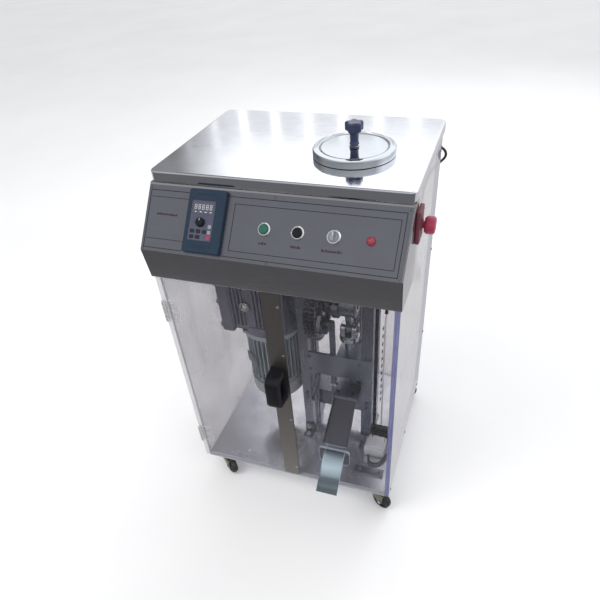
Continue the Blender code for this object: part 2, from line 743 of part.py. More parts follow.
def build_bearing():
    housing = cylinder((-0.034, TOOL_Y, CRANK_Z), (LEFT_UPRIGHT[0] - GAP, TOOL_Y, CRANK_Z), 0.031)
    low = (LEFT_UPRIGHT[0] - 0.004, UPRIGHT_BACK + GAP, CRANK_Z - 0.030)
    high = (LEFT_UPRIGHT[1] - 0.001, REAR_FRONT - GAP, CRANK_Z + 0.030)
    block = box(low, high)
    bore = cylinder((-0.06, TOOL_Y, CRANK_Z), (0.06, TOOL_Y, CRANK_Z), 0.0145)
    part("crank_bearing", navy_iron, [housing, block], [bore])


# ---------------------------------------------------------------- press

def build_frame():
    foot = BASE_TOP + GAP
    for name, (low, high) in (("left_upright", LEFT_UPRIGHT), ("right_upright", RIGHT_UPRIGHT)):
        part(name, brushed, [box((low, UPRIGHT_FRONT, foot), (high, UPRIGHT_BACK, FRAME_TOP))])
    posts = [
        box((LEFT_UPRIGHT[0], REAR_FRONT, foot), (LEFT_UPRIGHT[1], REAR_BACK, FRAME_TOP)),
        box((RIGHT_UPRIGHT[0], REAR_FRONT, foot), (RIGHT_UPRIGHT[1], REAR_BACK, FRAME_TOP)),
        box(
            (LEFT_UPRIGHT[0] + 0.002, REAR_FRONT + 0.003, 0.120),
            (RIGHT_UPRIGHT[1] - 0.002, REAR_BACK - 0.003, 0.150),
        ),
    ]
    part("rear_frame", brushed, posts)
    low = (-0.168, UPRIGHT_FRONT - 0.012, FRAME_TOP + GAP)
    high = (RIGHT_UPRIGHT[1], REAR_BACK, FRAME_TOP + BEAM_THICK)
    beam = box(low, high)
    part("upper_beam", brushed, [beam])


def build_guide():
    low, high = GUIDE_Z
    block = box((0.079, UPRIGHT_FRONT - 0.004, low), (RIGHT_UPRIGHT[0] - GAP, REAR_BACK - 0.020, high))
    apron_low = (LEFT_UPRIGHT[1] + 0.002, UPRIGHT_FRONT - 0.006, low)
    apron_high = (RIGHT_UPRIGHT[1] - 0.001, UPRIGHT_FRONT - GAP, high)
    apron = box(apron_low, apron_high)
    bore = cylinder((TOOL_X, TOOL_Y, 0.2), (TOOL_X, TOOL_Y, 0.4), 0.0118)
    part("ram_guide", grey_steel, [apron, block], [bore])


def build_rod():
    big = (TOOL_X, TOOL_Y, CRANK_Z + CRANK_THROW)
    small = (TOOL_X, TOOL_Y, 0.408)
    half = 0.018
    eye = cylinder((big[0] - half, big[1], big[2]), (big[0] + half, big[1], big[2]), 0.029)
    neck_points = (
        (-0.022, big[2] - 0.012), (0.022, big[2] - 0.012),
        (0.0075, small[2] + 0.006), (-0.0075, small[2] + 0.006),
    )
    neck = side_profile([(TOOL_Y + y, z) for y, z in neck_points], TOOL_X - 0.0065, TOOL_X + 0.0065)
    boss = cylinder((TOOL_X - 0.0065, TOOL_Y, small[2]), (TOOL_X + 0.0065, TOOL_Y, small[2]), 0.012)
    bores = [
        cylinder((0.06, TOOL_Y, big[2]), (0.15, TOOL_Y, big[2]), 0.0103),
        cylinder((0.06, TOOL_Y, small[2]), (0.15, TOOL_Y, small[2]), 0.0053),
    ]
    part("connecting_rod", grey_steel, [eye, neck, boss], bores, origin=small)


def build_ram():
    joint_z = 0.408
    fork = cylinder((TOOL_X, TOOL_Y, 0.386), (TOOL_X, TOOL_Y, 0.422), 0.0195)
    slot = box((TOOL_X - 0.0070, -0.1, 0.3945), (TOOL_X + 0.0070, 0.1, 0.5))
    pin = cylinder((TOOL_X - 0.022, TOOL_Y, joint_z), (TOOL_X + 0.022, TOOL_Y, joint_z), 0.005)
    collar = cylinder((TOOL_X, TOOL_Y, 0.380), (TOOL_X, TOOL_Y, 0.390), 0.0235)
    foot = PUNCH_Z + 0.021
    column = cylinder((TOOL_X, TOOL_Y, foot), (TOOL_X, TOOL_Y, 0.384), 0.0115)
    slotted = minus(fork, slot)
    part("ram", steel, [slotted, collar, column, pin], origin=(TOOL_X, TOOL_Y, 0.386))
    holder = cylinder((TOOL_X, TOOL_Y, PUNCH_Z + 0.0105), (TOOL_X, TOOL_Y, foot - GAP), 0.0095)
    punch = cylinder((TOOL_X, TOOL_Y, PUNCH_Z), (TOOL_X, TOOL_Y, PUNCH_Z + 0.012), 0.0040)
    part("upper_punch", gear_steel, [holder, punch], origin=(TOOL_X, TOOL_Y, foot))


def minus(shape, cutter):
    """shape with cutter taken out, as one shape."""
    base = bpy.data.objects.new("base", to_mesh(shape, "base"))
    other = bpy.data.objects.new("other", to_mesh(cutter, "other"))
    for item in (base, other):
        bpy.context.scene.collection.objects.link(item)
    boolean(base, other, "DIFFERENCE")
    result = from_object(base)
    bpy.data.objects.remove(other, do_unlink=True)
    return result


def build_table():
    low, high = TABLE_Z
    right = RIGHT_UPRIGHT[0] - GAP
    plate = box((0.080, -0.100, low), (right, 0.066, high))
    bore = cylinder((TOOL_X, TOOL_Y, 0.2), (TOOL_X, TOOL_Y, 0.3), 0.0113)
    part("die_table", grey_steel, [plate], [bore])
    foot = low + 0.001
    profile = ((0.0042, high), (0.011, high), (0.011, foot), (0.0042, foot), (0.0042, high))
    ring_shape = turned(profile, 28)
    part("die", gear_steel, [along(ring_shape, (TOOL_X, TOOL_Y, 0), Z_AXIS)])
    shoe_low = high + GAP
    nose = box((0.0855, -0.004, shoe_low), (0.1165, 0.030, shoe_low + 0.0115))
    block = box((0.0845, 0.019, shoe_low + 0.0002), (0.1175, 0.060, shoe_low + 0.020), 0.0015)
    well = cylinder((TOOL_X, TUBE_Y, shoe_low - 0.01), (TOOL_X, TUBE_Y, shoe_low + 0.04), 0.0115)
    channel = box((0.0925, 0.0, shoe_low - 0.01), (0.1095, 0.035, shoe_low + 0.007))
    part("feed_shoe", steel, [block, nose], [channel, well], origin=(TOOL_X, TUBE_Y, shoe_low))


def build_lower_tools():
    crossbar = box(
        (LEFT_UPRIGHT[1] + GAP, UPRIGHT_BACK - 0.001, CROSSBAR_Z[0]),
        (RIGHT_UPRIGHT[0] - GAP, REAR_BACK, CROSSBAR_Z[1]),
    )
    bore = cylinder((TOOL_X, TOOL_Y, 0.1), (TOOL_X, TOOL_Y, 0.3), 0.0060)
    part("lower_crossbar", brushed, [crossbar], [bore])
    points = []
    teeth = 28
    for step in range(teeth * 2):
        reach = 0.0225 if step % 2 else 0.0205
        angle = math.pi * step / teeth
        points.append((TOOL_X + reach * math.cos(angle), TOOL_Y + reach * math.sin(angle)))
    wheel = plan_profile(points, CROSSBAR_Z[1] + GAP, CROSSBAR_Z[1] + 0.013)
    bore = cylinder((TOOL_X, TOOL_Y, 0.1), (TOOL_X, TOOL_Y, 0.3), 0.0100)
    part("adjuster_gear", gear_steel, [wheel], [bore], origin=(TOOL_X, TOOL_Y, CROSSBAR_Z[1]))
    stem = cylinder((TOOL_X, TOOL_Y, SEAT_Z), (TOOL_X, TOOL_Y, TABLE_Z[0] - 0.012), 0.0055)
    tip = cylinder((TOOL_X, TOOL_Y, TABLE_Z[0] - 0.015), (TOOL_X, TOOL_Y, TABLE_Z[1] - 0.012), 0.0039)
    part("lower_punch", gear_steel, [stem, tip], origin=(TOOL_X, TOOL_Y, SEAT_Z))


def build_lift_rod():
    """The bar that carries the lower punch: a foot under it and a hook with a cam roller on top."""
    low, high = LIFT_X
    front, back = UPRIGHT_FRONT + 0.0005, -0.0525
    foot_low, foot_high = SEAT_Z - 0.0195, SEAT_Z - 0.0075
    bar = box((low, front, foot_low), (high, back, LIFT_TOP))
    hook = box((0.0465, front, LIFT_TOP - 0.012), (high, back, LIFT_TOP))
    axle_y, axle_z = (front + back) / 2, LIFT_TOP - 0.026
    axle = cylinder((0.0468, axle_y, axle_z), (low + 0.001, axle_y, axle_z), 0.0035, 16)
    arm = box((low, front, foot_low), (TOOL_X + 0.010, TOOL_Y + 0.010, foot_high))
    seat = cylinder((TOOL_X, TOOL_Y, foot_high - 0.002), (TOOL_X, TOOL_Y, SEAT_Z - GAP), 0.0095)
    part("lift_rod", grey_steel, [bar, hook, axle, arm, seat], origin=(low, front, foot_low))
    roller = turned(((0.0038, 0.0060), (0.0095, 0.0060), (0.0105, 0.0050),
                     (0.0105, -0.0050), (0.0095, -0.0060),
                     (0.0038, -0.0060), (0.0038, 0.0060)), 24)
    centre = (0.0537, axle_y, axle_z)
    part("cam_roller", navy_plastic, [along(roller, centre, X_AXIS)], origin=centre)


def on_chute(points, low, high):
    """An outline of (X, distance up the chute) points, from low to high over the chute's floor."""
    up = Vector((0, math.cos(CHUTE_SLOPE), math.sin(CHUTE_SLOPE)))
    frame = Matrix((X_AXIS, up, X_AXIS.cross(up))).transposed().to_4x4()
    frame.translation = (0, *CHUTE_TOP)
    return outline(points, high - low, frame @ Matrix.Translation((0, 0, (low + high) / 2)))


def build_chute():
    """A tray that widens towards the front pane, then a narrower tongue through its window."""
    end = -(CHUTE_TOP[0] - CHUTE_END_Y) / math.cos(CHUTE_SLOPE)
    tray = -CHUTE_TRAY
    sheet = CHUTE_SHEET
    floor = -sheet - 0.0003
    left, right = 0.086, 0.134
    walls = (
        ((0.084, 0), (0.084 + sheet, 0), (0.0795 + sheet, tray), (0.0795, tray)),
        ((0.135 - sheet, 0), (0.135, 0), (0.138, tray), (0.138 - sheet, tray)),
    )
    lips = (
        ((left, tray + 0.005), (left + sheet, tray + 0.005), (left + sheet, end), (left, end)),
        ((right - sheet, tray + 0.005), (right, tray + 0.005), (right, end), (right - sheet, end)),
    )
    shapes = [on_chute(((0.0845, 0), (0.1345, 0), (0.1375, tray), (0.0800, tray)), -sheet, 0)]
    shapes += [on_chute(wall, floor, 0.012) for wall in walls]
    tongue = ((left, tray + 0.02), (right, tray + 0.02), (right, end), (left, end))
    shapes.append(on_chute(tongue, floor - 0.0006, -0.0006))
    shapes += [on_chute(lip, floor - 0.0003, 0.004) for lip in lips]
    part("discharge_chute", steel, shapes)


# ---------------------------------------------------------------- castors

def build_castors():
    corners = (
        ("front_left", -CASTOR_X, -CASTOR_Y, -35), ("front_right", CASTOR_X, -CASTOR_Y, -25),
        ("rear_left", -CASTOR_X, CASTOR_Y, 150), ("rear_right", CASTOR_X, CASTOR_Y, 40),
    )
    for corner, x, y, heading in corners:
        swivel = Matrix.Translation((x, y, 0)) @ Matrix.Rotation(math.radians(heading), 4, "Z")
        build_castor(corner, swivel)


def build_castor(corner, swivel):
    """Drawn with its wheel trailing along +X, then turned to its heading."""
    top = CASTOR_HEIGHT - GAP
    inner = WHEEL_WIDTH / 2 + 0.0008
    outer = inner + 0.002
    plate = cylinder((0, 0, top - 0.0035), (0, 0, top), 0.0215, 20)
    head = cylinder((0, 0, 0.0495), (0, 0, top - 0.002), 0.0150, 16)
    shapes = [plate, head, box((-0.0140, -outer, 0.0480), (CASTOR_TRAIL + 0.010, outer, 0.0508))]
    cheek = (
        (-0.0130, 0.0500), (0.0330, 0.0500), (0.0310, 0.0255), (0.0275, 0.0165), (0.0205, 0.0165),
        (0.0130, 0.0270),
    )
    for side in (-1, 1):
        y_low, y_high = sorted((side * inner, side * outer))
        shapes.append(front_profile(cheek, y_low, y_high))
    end = outer + 0.0025
    axle = cylinder((CASTOR_TRAIL, -end, WHEEL_RADIUS), (CASTOR_TRAIL, end, WHEEL_RADIUS), 0.003, 12)
    shapes.append(axle)
    origin = swivel.translation
    part(f"castor_fork_{corner}", zinc, [moved(shape, swivel) for shape in shapes], origin=origin)
    half = WHEEL_WIDTH / 2
    shoulder = WHEEL_RADIUS - 0.002
    profile = (
        (0.0033, half), (0.0105, half), (0.0125, half - 0.0015), (shoulder, half - 0.0008),
        (WHEEL_RADIUS, half - 0.004), (WHEEL_RADIUS, 0.004 - half), (shoulder, 0.0008 - half),
        (0.0125, 0.0015 - half), (0.0105, -half), (0.0033, -half), (0.0033, half),
    )
    wheel = along(turned(profile, 20), (CASTOR_TRAIL, 0, WHEEL_RADIUS), Y_AXIS)
    hub = swivel @ Vector((CASTOR_TRAIL, 0, WHEEL_RADIUS))
    part(f"castor_wheel_{corner}", rubber, [moved(wheel, swivel)], origin=hub)


def build_machine():
    build_base()
    build_side_panes()
    build_rear_pane()
    build_front_pane()
    build_top_cover()
    build_console()
    build_control_panel()
    build_cord()
    build_door()
    build_buttons()
    build_speed_knob()
    build_lamp()
    build_inverter()
    build_estop()
    build_hopper()
    build_lid()
    build_gearbox()
    build_motor()
    build_gears()
    build_crank()
    build_bearing()
    build_frame()
    build_guide()
    build_rod()
    build_ram()
    build_table()
    build_lower_tools()
    build_lift_rod()
    build_chute()
    build_castors()


def centre_machine():
    """Moves the whole machine so that its bounding box is centred over the origin."""
    bpy.context.view_layer.update()
    graph = bpy.context.evaluated_depsgraph_get()
    corners = []
    for item in parts.objects:
        if item.type == "MESH":
            box_corners = item.evaluated_get(graph).bound_box
            corners += [item.matrix_world @ Vector(corner) for corner in box_corners]
    xs = [corner.x for corner in corners]
    ys = [corner.y for corner in corners]
    machine.location = (-(min(xs) + max(xs)) / 2, -(min(ys) + max(ys)) / 2, 0)


clear_scene()
parts = new_collection("tablet_press")
helpers = new_collection("cutters", hidden=True)
machine = bpy.data.objects.new("machine_centre", None)
parts.objects.link(machine)

steel = finish("polished_steel", (0.72, 0.73, 0.76), 0.18, metallic=1.0)
brushed = finish("brushed_steel", (0.45, 0.46, 0.49), 0.38, metallic=1.0)
grey_steel = finish("machined_steel", (0.33, 0.36, 0.39), 0.42, metallic=1.0)
gear_steel = finish("gear_steel", (0.42, 0.42, 0.45), 0.35, metallic=1.0)
chrome = finish("chrome", (0.80, 0.80, 0.82), 0.08, metallic=1.0)
grey_iron = finish("gearbox_paint", (0.20, 0.20, 0.24), 0.50)
motor_grey = finish("motor_paint", (0.24, 0.27, 0.28), 0.50)
navy_iron = finish("bearing_paint", (0.05, 0.06, 0.11), 0.45)
acrylic = finish("clear_acrylic", (0.90, 0.92, 0.97), 0.05, alpha=0.25, transmission=0.9)
black_plastic = finish("black_plastic", (0.012, 0.012, 0.018), 0.40)
grey_plastic = finish("grey_plastic", (0.22, 0.23, 0.25), 0.35)
blue_plastic = finish("blue_plastic", (0.045, 0.09, 0.16), 0.45)
navy_plastic = finish("navy_plastic", (0.03, 0.045, 0.12), 0.35)
green = finish("green_plastic", (0.01, 0.16, 0.09), 0.30)
red = finish("red_plastic", (0.45, 0.03, 0.06), 0.35)
dark_red = finish("dark_red_plastic", (0.17, 0.02, 0.03), 0.45)
rubber = finish("black_rubber", (0.015, 0.015, 0.015), 0.70)
zinc = finish("zinc_plate", (0.26, 0.26, 0.21), 0.40, metallic=1.0)

build_machine()
centre_machine()
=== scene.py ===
"""Looks of a single-punch tablet press in a clear cabinet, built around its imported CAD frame.

Metres, +Z up, -Y to the front. m(x, y, z) is a point measured from the middle of the base plate,
and Box holds the corners of a CAD node. Pieces that move ride on the body they belong to.
"""

import json
import math
import random

import bmesh
import bpy
from mathutils import Matrix, Vector


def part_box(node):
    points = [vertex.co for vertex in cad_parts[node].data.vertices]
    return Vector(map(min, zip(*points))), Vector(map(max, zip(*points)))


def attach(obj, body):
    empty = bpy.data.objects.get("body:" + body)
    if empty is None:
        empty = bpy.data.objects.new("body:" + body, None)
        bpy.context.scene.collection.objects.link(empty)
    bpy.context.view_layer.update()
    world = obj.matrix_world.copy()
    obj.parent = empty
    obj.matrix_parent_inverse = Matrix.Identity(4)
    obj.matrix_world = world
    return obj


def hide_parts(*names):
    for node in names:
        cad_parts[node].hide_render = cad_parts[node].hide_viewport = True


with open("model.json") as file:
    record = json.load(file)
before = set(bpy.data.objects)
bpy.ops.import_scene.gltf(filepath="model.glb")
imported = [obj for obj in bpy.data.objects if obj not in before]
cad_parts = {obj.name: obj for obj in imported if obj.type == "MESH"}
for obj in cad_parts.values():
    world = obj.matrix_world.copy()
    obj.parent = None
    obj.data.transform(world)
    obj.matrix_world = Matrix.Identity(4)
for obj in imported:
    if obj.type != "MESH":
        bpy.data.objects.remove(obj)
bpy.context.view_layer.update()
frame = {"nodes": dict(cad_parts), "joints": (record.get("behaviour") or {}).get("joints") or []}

X, Y, Z = Vector((1, 0, 0)), Vector((0, 1, 0)), Vector((0, 0, 1))
JOINTS = {joint["name"]: joint for joint in frame["joints"]}
CABINET = "cabinet"
SEAT = 0.0003
INK_KEYS = ((-0.0205, -0.0185), (-0.0085, -0.0185), (0.0035, -0.0185), (-0.0205, -0.0285), (-0.0085, -0.0285))
GREY_KEYS = ((0.0125, -0.009), (0.0125, -0.019))
STOP_KEY = ((0.0125, -0.0287),)
CONSOLE_FOLD, CONSOLE_SHEET = 0.0035, 0.0018
SIGN_THICK = 0.00025
CAMERA_LENS, CAMERA_SENSOR = 32.08, 36.0
CAMERA_SHIFT = (-0.0167, 0.0833)
CAMERA_PLACE = (0.3513, -0.933, 1.093)
CAMERA_RIGHT = (0.948303, 0.31201, -0.058067)
CAMERA_UP = (-0.16318, 0.636283, 0.754)
LIGHT_TARGET = (0, 0, 0.45)
FLOOR_HALF = 12
MULLIONS, MULLION_START = 92.0, 2.67
GEAR_TEETH, PINION_TEETH, MODULE = 52, 14, 0.003


class Box:
    """Corners, middle and size of a CAD node at rest."""

    def __init__(self, node):
        self.low, self.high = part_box(node)
        self.mid = (self.low + self.high) / 2
        self.size = self.high - self.low


BASE = Box("base_plate")
SHIFT = Vector((BASE.mid.x, BASE.mid.y, 0))


def m(x, y, z):
    """A point measured from the middle of the base plate, at height z."""
    return SHIFT + Vector((x, y, z))


def mx(x):
    """The row's X of a distance from the middle of the base plate."""
    return SHIFT.x + x


def my(y):
    """The row's Y of a distance from the middle of the base plate."""
    return SHIFT.y + y


def move(x, y, z=0):
    """A shift without a turn."""
    return Matrix.Translation((x, y, z))


def spin(share):
    """A turn about Z by a share of a circle."""
    return Matrix.Rotation(2 * math.pi * share, 4, "Z")


# ---------------------------------------------------------------- shapes

def frame_at(origin, x_axis, y_axis):
    """A frame from its origin and two of its axes."""
    x, y = Vector(x_axis).normalized(), Vector(y_axis).normalized()
    made = Matrix((x, y, x.cross(y))).transposed().to_4x4()
    made.translation = origin
    return made


def facing(origin, axis):
    """A frame with its Z along axis."""
    made = Vector(axis).to_track_quat("Z", "Y").to_matrix().to_4x4()
    made.translation = origin
    return made


def fillet(points, radius, steps=4, closed=True):
    """A polyline with each corner rounded; radius may be one number or one for each corner."""
    made, count = [], len(points)
    for number, point in enumerate(points):
        point = Vector(point)
        reach = radius[number] if isinstance(radius, (list, tuple)) else radius
        if reach == 0 or (not closed and number in (0, count - 1)):
            made.append(tuple(point))
            continue
        to_last = (Vector(points[number - 1]) - point).normalized()
        to_next = (Vector(points[(number + 1) % count]) - point).normalized()
        half = to_last.angle(to_next) / 2
        cut = reach / math.tan(half)
        centre = point + (to_last + to_next).normalized() * (reach / math.sin(half))
        start, end = point + to_last * cut - centre, point + to_next * cut - centre
        for step in range(steps + 1):
            share = step / steps
            arm = start.slerp(end, share) if start.angle(end) > 1e-4 else start
            made.append(tuple(centre + arm.normalized() * reach))
    return made


def ring_points(x, y, radius, count=48, turn=0.0):
    """Points round a circle, from an angle of turn."""
    angles = [turn + 2 * math.pi * step / count for step in range(count)]
    return [(x + radius * math.cos(a), y + radius * math.sin(a)) for a in angles]


def rect(x_low, y_low, x_high, y_high, radius=0.0, steps=4):
    """A rectangle, with rounded corners where radius is given."""
    corners = [(x_low, y_low), (x_high, y_low), (x_high, y_high), (x_low, y_high)]
    return fillet(corners, radius, steps) if radius else corners


class Shape:
    """Collects solids in one mesh."""

    def __init__(self):
        self.bm = bmesh.new()

    def _move(self, verts, matrix):
        if matrix is not None:
            bmesh.ops.transform(self.bm, matrix=matrix, verts=verts)
        return self

    def box(self, low, high, edge=0.0, at=None, steps=2):
        low, high = Vector(low), Vector(high)
        before = set(self.bm.verts)
        size = Matrix.Diagonal((*(high - low), 1))
        bmesh.ops.create_cube(self.bm, size=1, matrix=Matrix.Translation((low + high) / 2) @ size)
        made = [v for v in self.bm.verts if v not in before]
        if edge:
            edges = {e for v in made for e in v.link_edges}
            bmesh.ops.bevel(
                self.bm, geom=list(edges), offset=edge, segments=steps, affect="EDGES", profile=0.5,
            )
            made = [v for v in self.bm.verts if v not in before]
        return self._move(made, at)

    def loft(self, rows, caps=False, closed=True):
        """A skin through rows of points, as rows of vertices; closed joins each row's ends."""
        rows = [[self.bm.verts.new(point) for point in row] for row in rows]
        for first, second in zip(rows, rows[1:]):
            for step in range(len(first) - (not closed)):
                after = (step + 1) % len(first)
                self.bm.faces.new((first[step], first[after], second[after], second[step]))
        if caps:
            self.bm.faces.new(rows[0][::-1])
            self.bm.faces.new(rows[-1])
        return rows

    def lathe(self, profile, at=None, count=48):
        """A profile of (radius, height) points turned about Z; radius 0 closes an end."""
        rows = []
        for radius, height in profile:
            if radius <= 1e-7:
                rows.append([self.bm.verts.new((0, 0, height))])
            else:
                rows.append([self.bm.verts.new((x, y, height)) for x, y in ring_points(0, 0, radius, count)])
        for first, second in zip(rows, rows[1:]):
            for step in range(count):
                after = (step + 1) % count
                if len(first) == 1 and len(second) == 1:
                    continue
                if len(first) == 1:
                    self.bm.faces.new((first[0], second[after], second[step]))
                elif len(second) == 1:
                    self.bm.faces.new((first[step], first[after], second[0]))
                else:
                    self.bm.faces.new((first[step], first[after], second[after], second[step]))
        return self._move([v for row in rows for v in row], at)

    def rod(self, start, end, radius, edge=0.0006, count=32):
        """A round bar with chamfered ends."""
        start, end = Vector(start), Vector(end)
        long = (end - start).length
        profile = [
            (0, 0), (radius - edge, 0), (radius, edge), (radius, long - edge), (radius - edge, long),
            (0, long),
        ]
        return self.lathe(profile, facing(start, end - start), count)

    def pipe(self, start, end, radius, bore, edge=0.0005, count=40):
        """A round tube with chamfered rims."""
        start, end = Vector(start), Vector(end)
        long = (end - start).length
        profile = [
            (bore, edge), (bore + edge, 0), (radius - edge, 0), (radius, edge), (radius, long - edge),
            (radius - edge, long), (bore + edge, long), (bore, long - edge), (bore, edge),
        ]
        return self.lathe(profile, facing(start, end - start), count)

    def sweep(self, points, radius, count=12):
        """A round section carried along a polyline."""
        section = ring_points(0, 0, radius, count)
        rows, side = [], None
        for number, point in enumerate(points):
            ahead = points[min(number + 1, len(points) - 1)] - points[max(number - 1, 0)]
            ahead.normalize()
            if side is None:
                side = ahead.orthogonal().normalized()
            side = (side - ahead * side.dot(ahead)).normalized()
            up = ahead.cross(side)
            rows.append([point + side * a + up * b for a, b in section])
        self.loft(rows, caps=True)
        return self

    def prism(self, points, low, high, at=None, edge=0.0):
        """An outline without holes, from low to high along its Z, with an optional chamfer."""
        layers = [(0.0, low), (0.0, high)]
        if edge:
            layers = [(edge, low), (0.0, low + edge), (0.0, high - edge), (edge, high)]
        rows = []
        for inset, height in layers:
            outline = inset_outline(points, inset) if inset else points
            rows.append([(x, y, height) for x, y in outline])
        rows = self.loft(rows, caps=True)
        return self._move([v for row in rows for v in row], at)

    def flat(self, outlines, low, high, at=None, edge=0.0004):
        """A plate from low to high along its Z; the outlines after the first are holes."""
        curve = bpy.data.curves.new("flat", "CURVE")
        curve.dimensions = "2D"
        curve.fill_mode = "BOTH"
        curve.extrude = (high - low) / 2 - edge
        curve.bevel_depth = edge
        curve.offset = -edge
        curve.bevel_resolution = 1 if edge > 0.0008 else 0
        for points in outlines:
            spline = curve.splines.new("POLY")
            spline.points.add(len(points) - 1)
            for target, (x, y) in zip(spline.points, points):
                target.co = (x, y, 0, 1)
            spline.use_cyclic_u = True
        item = bpy.data.objects.new("flat", curve)
        bpy.context.scene.collection.objects.link(item)
        bpy.context.view_layer.update()
        mesh = bpy.data.meshes.new_from_object(item.evaluated_get(bpy.context.evaluated_depsgraph_get()))
        mesh.transform((at or Matrix.Identity(4)) @ Matrix.Translation((0, 0, (low + high) / 2)))
        before = set(self.bm.verts)
        self.bm.from_mesh(mesh)
        made = [v for v in self.bm.verts if v not in before]
        bmesh.ops.remove_doubles(self.bm, verts=made, dist=2e-6)
        bpy.data.objects.remove(item, do_unlink=True)
        bpy.data.curves.remove(curve)
        bpy.data.meshes.remove(mesh)
        return self

    def socket(self, at, axis, radius, height=None):
        """A cap screw without a washer."""
        return self.screw(at, axis, radius, height, hexagon=False, washer=False)

    def screw(self, at, axis, radius, height=None, hexagon=True, washer=True):
        """A cap screw with a socket, or a flat-sided bolt head, standing on a face."""
        height = height or radius * 0.9
        place = facing(at, axis)
        base = 0.0
        if washer:
            base = radius * 0.22
            self.lathe(
                [(0, 0), (radius * 1.45, 0), (radius * 1.5, base * 0.5), (radius * 1.4, base), (0, base)],
                place, 24,
            )
        if hexagon:
            head = ring_points(0, 0, radius * 1.08, 6)
            return self.prism(head, base, base + height, place, radius * 0.12)
        hole, rim = radius * 0.52, base + height
        profile = [
            (radius, base), (radius, rim - radius * 0.15), (radius * 0.85, rim), (hole, rim),
            (hole * 0.96, rim - height * 0.5), (0, rim - height * 0.55),
        ]
        return self.lathe(profile, place, 18)


def inset_outline(points, inset):
    """A simple outline pulled in by inset."""
    made, count = [], len(points)
    area = sum(points[i - 1][0] * points[i][1] - points[i][0] * points[i - 1][1] for i in range(count))
    side = 1 if area > 0 else -1
    for number in range(count):
        here = Vector(points[number])
        before = (here - Vector(points[number - 1])).normalized()
        after = (Vector(points[(number + 1) % count]) - here).normalized()
        first, second = Vector((-before.y, before.x)), Vector((-after.y, after.x))
        mean = first + second
        scale = inset * side / max(0.3, mean.length_squared / 2)
        made.append(tuple(here + mean * scale))
    return made


def piece(name, shape, material, body=CABINET, replaces=None, smooth=32, solid=0.0):
    """One visible piece from a Shape, riding on a body."""
    mesh = bpy.data.meshes.new(name)
    bmesh.ops.recalc_face_normals(shape.bm, faces=shape.bm.faces)
    shape.bm.to_mesh(mesh)
    shape.bm.free()
    item = bpy.data.objects.new(name, mesh)
    bpy.context.scene.collection.objects.link(item)
    mesh.materials.append(material)
    if solid:
        skin = item.modifiers.new("sheet", "SOLIDIFY")
        skin.thickness, skin.offset = solid, -1
        skin.use_even_offset = True
    mesh.shade_smooth()
    mesh.set_sharp_from_angle(angle=math.radians(smooth))
    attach(item, body)
    if replaces:
        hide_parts(replaces)
    return item


def soften(item, width):
    """Rounds the sharp edges of an object."""
    edge = item.modifiers.new("edge", "BEVEL")
    edge.width, edge.segments, edge.limit_method = width, 2, "ANGLE"
    edge.angle_limit = math.radians(40)
    edge.harden_normals = False


def dress(node, material, bevel=0.0):
    """Gives a CAD node its finish and a soft edge."""
    item = frame["nodes"][node]
    item.data.materials.clear()
    item.data.materials.append(material)
    if bevel:
        soften(item, bevel)
    return item


# ---------------------------------------------------------------- materials

class Tree:
    """A material's node tree, drawn in object space."""

    def __init__(self, name, world=False):
        self.material = (bpy.data.worlds if world else bpy.data.materials).new(name)
        self.material.use_nodes = True
        self.links = self.material.node_tree.links
        self.nodes = self.material.node_tree.nodes
        self.nodes.clear()
        self.output = self.add("OutputWorld" if world else "OutputMaterial")
        self.place = self.add("TexCoord").outputs["Generated" if world else "Object"]

    def add(self, kind, inputs=None, **settings):
        node = self.nodes.new("ShaderNode" + kind)
        for key, value in settings.items():
            setattr(node, key, value)
        for key, value in (inputs or {}).items():
            if isinstance(value, bpy.types.NodeSocket):
                self.links.new(value, node.inputs[key])
            else:
                node.inputs[key].default_value = value
        return node

    def noise(self, scale, detail=3.0, stretch=(1, 1, 1), roughness=0.55):
        place = self.add("Mapping", {"Vector": self.place, "Scale": stretch}).outputs[0]
        inputs = {"Vector": place, "Scale": scale, "Detail": detail, "Roughness": roughness}
        return self.add("TexNoise", inputs).outputs["Fac"]

    def band(self, value, low, high, to_low=0.0, to_high=1.0):
        inputs = {"Value": value, "From Min": low, "From Max": high, "To Min": to_low, "To Max": to_high}
        return self.add("MapRange", inputs).outputs[0]

    def math(self, operation, first, second=0.0):
        return self.add("Math", {0: first, 1: second}, operation=operation).outputs[0]

    def mix(self, share, first, second):
        node = self.add("Mix", data_type="RGBA")
        for index, value in ((0, share), (6, first), (7, second)):
            if isinstance(value, bpy.types.NodeSocket):
                self.links.new(value, node.inputs[index])
            elif index and len(value) == 3:
                node.inputs[index].default_value = (*value, 1)
            else:
                node.inputs[index].default_value = value
        return node.outputs[2]

    def bump(self, height, strength, distance=0.001, normal=None):
        inputs = {"Height": height, "Strength": strength, "Distance": distance}
        if normal is not None:
            inputs["Normal"] = normal
        return self.add("Bump", inputs).outputs[0]

    def axis(self, name):
        """One component of the surface's own normal, without its sign."""
        normal = self.add("TexCoord").outputs["Normal"]
        part = self.add("SeparateXYZ", {0: normal}).outputs[name]
        return self.math("ABSOLUTE", part)

    def height(self, name="Z"):
        return self.add("SeparateXYZ", {0: self.place}).outputs[name]

    def done(self, shader):
        self.links.new(shader, self.output.inputs["Surface"])
        return self.material

    def principled(self, inputs):
        return self.add("BsdfPrincipled", inputs).outputs[0]


def shade(colour, factor):
    """A colour made darker or lighter."""
    return tuple(min(1.0, channel * factor) for channel in colour)


